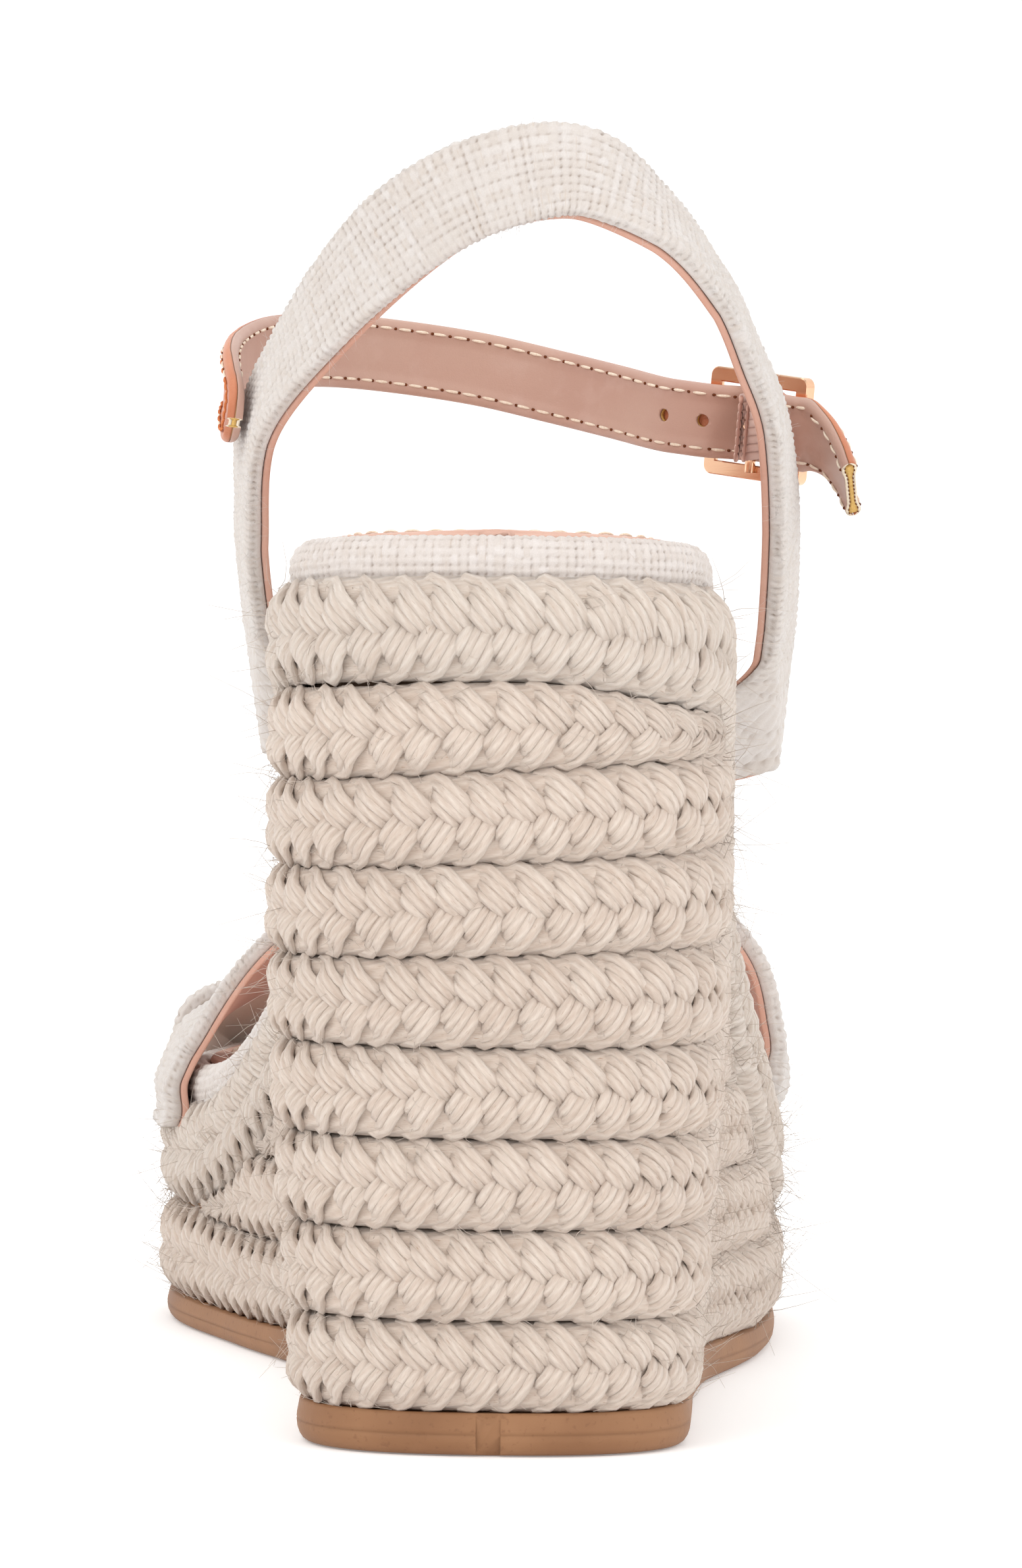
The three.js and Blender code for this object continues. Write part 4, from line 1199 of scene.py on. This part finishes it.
# Where the strap is sewn to the halter: a stitch line that follows the rounded end
def addSewnEnd(frames):
    at, across, face = frames[0], frames[2], frames[3]
    reach = strap["sewnAcross"]
    lead = np.array(strap["sewnRun"])
    angle = np.radians(np.arange(-90, 91, 22.5))
    runs = np.r_[lead, strap["half"] - reach * np.cos(angle), lead[::-1]]
    sides = np.r_[np.full(len(lead), -reach), reach * np.sin(angle), np.full(len(lead), reach)]
    i = np.searchsorted(runLength(at), runs)
    centre = at[i] + sides[:, None] * across[i] + 1.06 * face[i]
    sewn = build("sewnEndStitches", stitchPart(centre, tangents(centre), face[i], 1.7, 0.24), orangeThread)
    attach(sewn, "sandal")


# Dark dots round the filler on the tail's cut end: painted shade in the seam between the filler and the skins
def addTailDots(frames):
    at, along, across, face = (part[-1] for part in frames)
    c = np.linspace(-4.2, 4.2, 13)
    half = strapHalf(c) - strap["skin"]
    c, out = np.r_[c, c[::-1]][:, None], np.r_[half, -half][:, None]
    centre = at + c * across + out * face + 0.02 * along
    dots = stitchPart(centre, unit(np.roll(centre, -1, 0) - centre), along, 0.3, 0.09)
    followTail(build("tailEndDots", dots, needleHole), "strap_filler")


elastic = {
    "thick": 0.6,
    "half": 4.3,
    "ribs": 8,
    "ribRise": 0.16,
    "step": 0.3,
    "clear": 0.25, # from the bar
    "outwards": (1.0, -0.03, 0.0),
    "toHalter": (-0.03, -1.0, 0.0),
    # one ply and then the other: run towards the halter, and how far to the side
    "first": [(26, 0.1), (18, -0.1), (8, 0.9)],
    "second": [(8, -1.6), (18, -1.1), (26, -0.9)],
}


# Two plies of ribbed web folded round the bar: the face dips between the ribs as a power of a sine across it
def addElastic():
    turn = buckle["barRadius"] + elastic["clear"] + elastic["thick"] / 2
    toHalter, outwards = unit(np.array(elastic["toHalter"])), unit(np.array(elastic["outwards"]))
    ply = lambda run, side: fromBuckle(0, buckle["barOut"]) + run * toHalter + side * outwards
    bends = np.radians(np.arange(75, -90, -30))
    fold = [ply(-turn * math.cos(a), turn * math.sin(a)) for a in bends]
    points = [*(ply(r, s) for r, s in elastic["first"]), ply(0.6, turn), *fold, ply(0.6, -turn),
              *(ply(r, s) for r, s in elastic["second"])]
    at = evenLine(points, elastic["step"])
    along = tangents(at)
    across = np.broadcast_to(buckleUp, at.shape)
    face = unit(np.cross(along, across))
    c = np.linspace(-elastic["half"], elastic["half"], elastic["ribs"] * 8 + 1)
    rib = np.abs(np.sin(np.pi * elastic["ribs"] * (c + elastic["half"]) / (2 * elastic["half"]))) ** 0.6
    out = elastic["thick"] / 2 - elastic["ribRise"] * (1 - rib)
    around = np.r_[c, c[::-1]]
    rings = ringsOf((at, along, across, face), around, np.r_[out, -out[::-1]])
    # the dips between the ribs are marked for painted shade
    hollow = np.r_[1 - rib, (1 - rib)[::-1]] ** 2
    girth = np.arange(len(around) + 1) * (2 * elastic["half"] / len(c))
    web = build("elasticChape", gridPart(rings, girth, runLength(at), hollow=hollow[None, None]), elasticWeb)
    cutAway([web], [boxPart((-3, 3), (-2.2, 3.2), buckle["slotHalf"] + 0.5)])
    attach(web, "sandal")
    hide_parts("elastic_chape")


# The buckle's frame is a profile of (inset, out) carried round a rectangle with quarter-round corners, and
# its bar is a straight tube
def addBuckle():
    rings = []
    for inset, out in buckle["profile"]:
        radius = max(buckle["corner"] - inset, 0.06)
        halfL, halfH = buckle["length"] / 2 - inset - radius, buckle["height"] / 2 - inset - radius
        points = []
        for signL, signH, first in ((1, 1, 0), (-1, 1, 90), (-1, -1, 180), (1, -1, 270)):
            angle = np.radians(first + np.linspace(0, 90, 9))
            corner = [signL * halfL + radius * np.cos(angle), signH * halfH + radius * np.sin(angle)]
            points.append(np.stack(corner, -1))
        flat = np.concatenate(points)
        rings.append(fromBuckle(flat[:, 0], out, flat[:, 1]))
    rings = np.stack(rings, 1)
    part = gridPart(rings, np.arange(rings.shape[1] + 1.0), np.arange(rings.shape[0] + 1.0), wrapAlong=True)
    sides = build("buckleFrame", part, roseGold, smooth=False)
    reach = buckle["height"] / 2 - buckle["barShort"]
    line = fromBuckle(0, buckle["barOut"], np.linspace(-reach, reach, 9))[None]
    whole = np.ones((1, 9, 1))
    bar = build("buckleBar", tubePart(line, whole * buckleAlong, whole * buckleOut, buckle["barRadius"],
                                      buckle["barRadius"], 24), roseGold)
    for piece in (sides, bar):
        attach(piece, "buckle")
    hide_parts("buckle_frame")


prong = {
    "eyeRadius": 1.3,
    "eyeThick": 0.33,
    "halfWidth": 0.6,
    "shank": [(0.3, 2.25), (1.2, 2.25), (3, 2.65), (5.5, 3.25), (7.2, 3.72), (8.1, 3.7), (8.5, 3.45)],
    "halfThick": 0.42,
}


# The prong: a flat wire bent round the bar into an eye, and a shank that thins to its rounded tip
def addProng():
    angle = np.arange(40) / 40 * 2 * np.pi
    eyeAlong, eyeOut = prong["eyeRadius"] * np.cos(angle), prong["eyeRadius"] * np.sin(angle)
    loop = fromBuckle(eyeAlong, buckle["barOut"] + eyeOut)[None]
    up = np.broadcast_to(buckleUp, loop.shape)
    out = unit(np.cross(up, tangents(loop, True)))
    eye = tubePart(loop, up, out, prong["halfWidth"], prong["eyeThick"], 12, closed=True)
    line = smoothLine([fromBuckle(a, o) for a, o in prong["shank"]], 40)[None]
    up = np.broadcast_to(buckleUp, line.shape)
    t = np.linspace(0, 1, 41)
    taper = (1 - 0.25 * t) * np.sqrt(np.maximum(1 - clamp01((t - 0.93) / 0.07) ** 2, 0.08))
    shank = tubePart(line, up, unit(np.cross(up, tangents(line))), prong["halfWidth"] * taper[None],
                     prong["halfThick"] * taper[None], 16)
    piece = build("buckleProng", [eye, shank], roseGold)
    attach(piece, "prong")
    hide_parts("buckle_prong")


strapLine = ankleFrames()
addAnkleStrap(strapLine)
addStrapStitches(strapLine)
addSewnEnd(strapLine)
addTailDots(strapLine)
addElastic()
addBuckle()
addProng()
print("ankle strap, elastic and buckle made")


# The rings of a slab, which cross the shoe from side to side. edge lists (inset, height at y) down the side;
# the faces between the sides have their own number of steps, and the top one may be raised by
# crown(share across, y).
def slabRings(edge, stations, acrossTop, acrossBottom, crown=None):
    u = (np.arange(1, stations) / stations / 2)[:, None]
    sides = []
    for turn in (1, -1):
        points = []
        for inset, height in edge:
            x, y = outlinePoint(turn * u, inset)
            inward = inset + leanIn(y, height(y))
            x, y = outlinePoint(turn * u, inward)
            points.append(np.concatenate([x, y, height(y)], axis=1))
        sides.append(np.stack(points, 1))
    outer, inner = sides
    down = np.linspace(0, 1, acrossBottom + 2)[1:-1][None, :, None]
    over = np.linspace(0, 1, acrossTop + 2)[1:-1][None, :, None]
    bottom = outer[:, -1:] * (1 - down) + inner[:, -1:] * down
    top = inner[:, :1] * (1 - over) + outer[:, :1] * over
    if crown is not None:
        top[..., 2] += crown(over[..., 0], top[..., 1])
    return np.concatenate([outer, bottom, inner[:, ::-1], top], axis=1)


def slabPart(rings):
    girth = np.arange(rings.shape[1] + 1) * 2.0
    return gridPart(rings, girth, runLength(rings.mean(axis=1)))


# an edge given as (inset, height above the wedge's top)
def edgeAbove(pairs):
    return [(inset, lambda y, height=height: topLine(y) + height) for inset, height in pairs]


outsole = {
    "inset": 1.9,
    # down its edge: share of its thickness, and how much further in. The fourth pair lies in the groove.
    "edge": [(0.93, 0.0), (0.62, -0.3), (0.54, -0.34), (0.5, -0.12), (0.46, -0.34), (0.3, -0.24), (0.17, 0.0),
             (0.07, 0.35), (0.02, 0.75)],
    "topIn": 0.15,
    "footIn": 1.3,
    "stations": 260,
    "acrossTop": 10,
    "acrossFoot": 24,
}


def addOutsole():
    inset = outsole["inset"]
    side = [(inset + outsole["topIn"], soleTop)]
    for share, out in outsole["edge"]:
        side.append((inset + out, lambda y, share=share: lift(y) + share * (soleTop(y) - lift(y))))
    side.append((inset + outsole["footIn"], lift))
    rings = slabRings(side, outsole["stations"], outsole["acrossTop"], outsole["acrossFoot"])
    piece = build("outsole", slabPart(rings), soleRubber)
    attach(piece, "sandal")
    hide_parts("outsole")


footbed = {
    "padEdge": [(7.5, 4.3), (7.0, 3.9), (6.8, 3.2), (6.9, 2.5)],
    "sockEdge": [(8.2, 5.95), (7.75, 5.85), (7.5, 5.55), (7.5, 5.15), (7.7, 4.95)],
    "stations": 150,
    "across": 24,
    "crown": 0.5,
    "frames": 20,
    "pressure": 4.0,
    "mostSwell": 0.5,
    "stitchInset": 10.6,
    "stitchHeight": 6.28,
    "stitchPitch": 3.1,
    "stitchLength": 2.1,
    "stitchHalf": 0.24,
}


# The pad swells as cloth under pressure with its floor and sides held; how far a point may move is capped.
def swell(piece, held):
    rest = np.empty(len(piece.data.vertices) * 3, np.float32)
    piece.data.vertices.foreach_get("co", rest)
    group = piece.vertex_groups.new(name="held")
    group.add(held.tolist(), 1.0, "REPLACE")
    cloth = piece.modifiers.new("swell", "CLOTH")
    settings = cloth.settings
    settings.quality = 4
    settings.mass = 0.3
    settings.tension_stiffness = 20
    settings.compression_stiffness = 20
    settings.bending_stiffness = 2
    settings.use_pressure = True
    settings.uniform_pressure_force = footbed["pressure"]
    settings.vertex_group_mass = "held"
    settings.effector_weights.gravity = 0
    cloth.collision_settings.use_collision = False
    scene = bpy.context.scene
    for f in range(1, footbed["frames"] + 1):
        scene.frame_set(f)
    ready = piece.evaluated_get(bpy.context.evaluated_depsgraph_get())
    moved = np.empty_like(rest)
    ready.data.vertices.foreach_get("co", moved)
    piece.modifiers.remove(cloth)
    piece.vertex_groups.remove(group)
    scene.frame_set(1)
    shift = np.nan_to_num((moved - rest).reshape(-1, 3))
    far = np.linalg.norm(shift, axis=1, keepdims=True)
    shift *= np.minimum(1, footbed["mostSwell"] * mm / np.maximum(far, 1e-9))
    piece.data.vertices.foreach_set("co", (rest.reshape(-1, 3) + shift).ravel())
    piece.data.update()
    return shift / mm


def addFootbed():
    arch = lambda over, y: footbed["crown"] * np.sin(np.pi * over) ** 0.6 + 0 * y
    stations, across = footbed["stations"], footbed["across"]
    rings = slabRings(edgeAbove(footbed["padEdge"]), stations, across, across // 2, arch)
    pad = build("footbedCushion", slabPart(rings), foamPad)
    topFirst = rings.shape[1] - across
    index = np.arange(rings.shape[0] * rings.shape[1]).reshape(rings.shape[:2])
    rise = np.zeros((rings.shape[0], across))
    shift = swell(pad, index[:, :topFirst].ravel())
    rise = shift[index[:, topFirst:].ravel(), 2].reshape(rise.shape)
    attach(pad, "sandal")
    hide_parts("footbed_cushion")
    # the sock lies on the swollen pad, so both its faces rise as the pad does
    rings = slabRings(edgeAbove(footbed["sockEdge"]), stations, across, across, arch)
    part = slabPart(rings)
    points = part["points"].reshape(rings.shape)
    sides = len(footbed["sockEdge"])
    over = np.linspace(0, 1, across + 2)[1:-1][None]
    points[:, sides:sides + across, 2] += rise[:, ::-1] + arch(over, 0)
    points[:, -across:, 2] += rise
    part["points"] = points.reshape(-1, 3)
    sock = build("sockLining", part, sockLeather)
    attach(sock, "sandal")
    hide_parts("sock_lining")
    # stitches a little way in from the sock's edge, all round
    dense = np.linspace(0, 1, 4001)
    x, y = outlinePoint(dense, footbed["stitchInset"])
    run = runLength(np.stack([x, y, topLine(y)], -1))
    count = int(run[-1] / footbed["stitchPitch"])
    u = np.interp((np.arange(count) + 0.5) / count * run[-1], run, dense)
    x, y = outlinePoint(u, footbed["stitchInset"])
    centre = np.stack([x, y, topLine(y) + footbed["stitchHeight"]], -1)
    way = tangents(centre, closed=True)
    part = stitchPart(centre, way, np.array([0.0, 0.0, 1.0]), footbed["stitchLength"], footbed["stitchHalf"])
    thread = build("sockStitches", part, creamThread)
    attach(thread, "sandal")


addOutsole()
addFootbed()
print("outsole, cushion and sock made")


fuzz = {
    "juteCount": 7000,
    "juteLength": (1.2, 6.0),
    "juteShortest": 2.2, # a power: the higher, the more of them are short
    "juteRadius": 0.05,
    "juteInset": 1.9,
    "bend": 0.5,
    "low": 9.0, # those below this height turn up, clear of the floor
    "linenCount": 3300,
    "linenLength": (0.5, 2.0),
    "linenRadius": 0.022,
}


# Fibres start all over the wall of the braid, and along the edges of the linen straps
def addFuzz():
    count = fuzz["juteCount"]
    u = rng.uniform(0, 1, count)
    x, y = outlinePoint(u, braid["centreInset"])
    share = rng.uniform(0, 1, count)
    z = soleTop(y) + share * (topLine(y) - soleTop(y))
    x, y = outlinePoint(u, fuzz["juteInset"] + leanIn(y, z))
    ahead = outlinePoint(u + 0.002, braid["centreInset"])
    behind = outlinePoint(u - 0.002, braid["centreInset"])
    way = unit(np.stack([ahead[0] - behind[0], ahead[1] - behind[1], 0 * u], -1))
    out = np.stack([way[:, 1], -way[:, 0], 0 * u], -1)
    sweep = unit(rng.normal(size=(count, 3)) * (1, 1, 0.9))
    bend = fuzz["bend"] * rng.normal(size=(count, 3))
    low = z < fuzz["low"]
    sweep[low, 2], bend[low, 2] = np.abs(sweep[low, 2]), np.abs(bend[low, 2])
    shortest, longest = fuzz["juteLength"]
    length = rng.uniform(0, 1, count) ** fuzz["juteShortest"] * (longest - shortest) + shortest
    start = np.stack([x, y, z], -1)
    part = hairPart(start, unit(0.5 * out + sweep), bend, length, fuzz["juteRadius"], 4)
    piece = build("juteFuzz", part, jute)
    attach(piece, "sandal")
    starts, ways = [], []
    for frames, width in ((halterFrames, halter["width"]), (instepFrames, bands["instep"]["width"]),
                          (toeFrames, bands["toe"]["width"])):
        at, across, face = frames[0], frames[2], frames[3]
        i = rng.integers(40, len(at) - 40, fuzz["linenCount"] // 3)
        side = rng.choice([-1.0, 1.0], len(i))[:, None]
        edge = at[i] + side * across[i] * (width / 2 - 0.1)
        starts.append(edge + face[i] * rng.uniform(-0.4, 0.9, (len(i), 1)))
        ways.append(unit(side * across[i] + rng.normal(size=(len(i), 3)) * 0.9))
    start, way = np.concatenate(starts), np.concatenate(ways)
    length = rng.uniform(*fuzz["linenLength"], len(start))
    part = hairPart(start, way, fuzz["bend"] * rng.normal(size=start.shape), length, fuzz["linenRadius"], 5)
    piece = build("linenFuzz", part, strapLinen)
    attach(piece, "sandal")


# the solids that show as they are
def dressSolids():
    for name, made in (("wedge_core", corkCore), ("insole_board", boardFibre)):
        nodes[name].data.materials.clear()
        nodes[name].data.materials.append(made)


addFuzz()
dressSolids()
print("fibres added")


view = {
    "distance": 1250.0, # from the middle of the heel seat, level
    "azimuth": 2.0,
    "height": 148.0,
    "lens": 150.2,
    "sensorHeight": 24.0,
    "tilt": 2.97,
    "roll": -0.5,
    "pan": 0.033,
    "farthest": 50.0, # in metres
}


def addCamera():
    data = bpy.data.cameras.new("view")
    data.sensor_fit = "VERTICAL"
    data.sensor_height = view["sensorHeight"]
    data.lens = view["lens"]
    data.clip_end = view["farthest"]
    camera = bpy.data.objects.new("view", data)
    bpy.context.scene.collection.objects.link(camera)
    turn = math.radians(view["azimuth"])
    away = view["distance"] * mm
    camera.location = (away * math.sin(turn), -away * math.cos(turn), view["height"] * mm)
    camera.rotation_euler = (math.radians(90 - view["tilt"]), math.radians(view["roll"]),
                             turn - math.radians(view["pan"]))
    bpy.context.scene.camera = camera


studio = {
    "middleY": 60.0,
    "flatFrom": 400.0,
    "flatTo": 2600.0,
    "curve": 900.0,
    "wallTop": 3800.0,
    "under": 0.15, # the floor lies this far under the sole
    "rings": 12,
    "sides": 72,
    "white": 0.93,
    "glow": 0.2,
    "air": 0.72,
    "lights": [
        # name, place, size, watts, colour
        ("keyLight", (-900, -1300, 1500), 1100, 12, (1.0, 0.985, 0.96)),
        ("fillLight", (1300, -900, 900), 1200, 5.5, (1.0, 0.99, 0.98)),
        ("topLight", (0, 300, 1900), 1600, 9, (1.0, 1.0, 1.0)),
    ],
    "aim": (0, 60, 70),
}


# A round sheet that runs level, curves up as a quarter circle and ends as a wall
def addFloor():
    rings, sides, curve = studio["rings"], studio["sides"], studio["curve"]
    bend = np.linspace(0.1, np.pi / 2, rings)
    level = np.linspace(studio["flatFrom"], studio["flatTo"], rings)
    radius = np.r_[level, studio["flatTo"] + curve * np.sin(bend), studio["flatTo"] + curve]
    rise = np.r_[np.zeros(rings), curve * (1 - np.cos(bend)), studio["wallTop"]] - studio["under"]
    angle = np.arange(sides) / sides * 2 * np.pi
    x, y = radius[:, None] * np.cos(angle), radius[:, None] * np.sin(angle) + studio["middleY"]
    points = np.stack([x, y, np.broadcast_to(rise[:, None], x.shape)], -1)
    index = np.arange(len(radius) * sides).reshape(len(radius), sides)
    corners = [index[:-1], np.roll(index[:-1], -1, 1), np.roll(index[1:], -1, 1), index[1:]]
    faces = np.stack(corners, -1).reshape(-1, 4).tolist() + [index[0].tolist()]
    mesh = bpy.data.meshes.new("studioFloor")
    mesh.from_pydata((points.reshape(-1, 3) * mm).tolist(), [], faces)
    floor = bpy.data.objects.new("studioFloor", mesh)
    white = (studio["white"], studio["white"], studio["white"], 1)
    made = newMaterial("studioWhite", Roughness=0.9, Specular_IOR_Level=0.1, Base_Color=white,
                       Emission_Color=(1, 1, 1, 1), Emission_Strength=studio["glow"])[0]
    mesh.materials.append(made)
    bpy.context.scene.collection.objects.link(floor)


def addLights():
    for name, place, size, watts, colour in studio["lights"]:
        data = bpy.data.lights.new(name, "AREA")
        data.size = size * mm
        data.energy = watts
        data.color = colour
        lamp = bpy.data.objects.new(name, data)
        lamp.location = [p * mm for p in place]
        target = np.array(studio["aim"]) - np.array(place)
        yaw = math.atan2(target[0], -target[1])
        drop = math.atan2(math.hypot(target[0], target[1]), -target[2])
        lamp.rotation_euler = (drop, 0, yaw + math.pi)
        bpy.context.scene.collection.objects.link(lamp)
    world = bpy.data.worlds.new("studioAir")
    world.use_nodes = True
    air = world.node_tree.nodes["Background"]
    air.inputs["Color"].default_value = (1, 1, 1, 1)
    air.inputs["Strength"].default_value = studio["air"]
    bpy.context.scene.world = world
    bpy.context.scene.view_settings.view_transform = "Standard"


addCamera()
addFloor()
addLights()
print("camera, floor and light set")
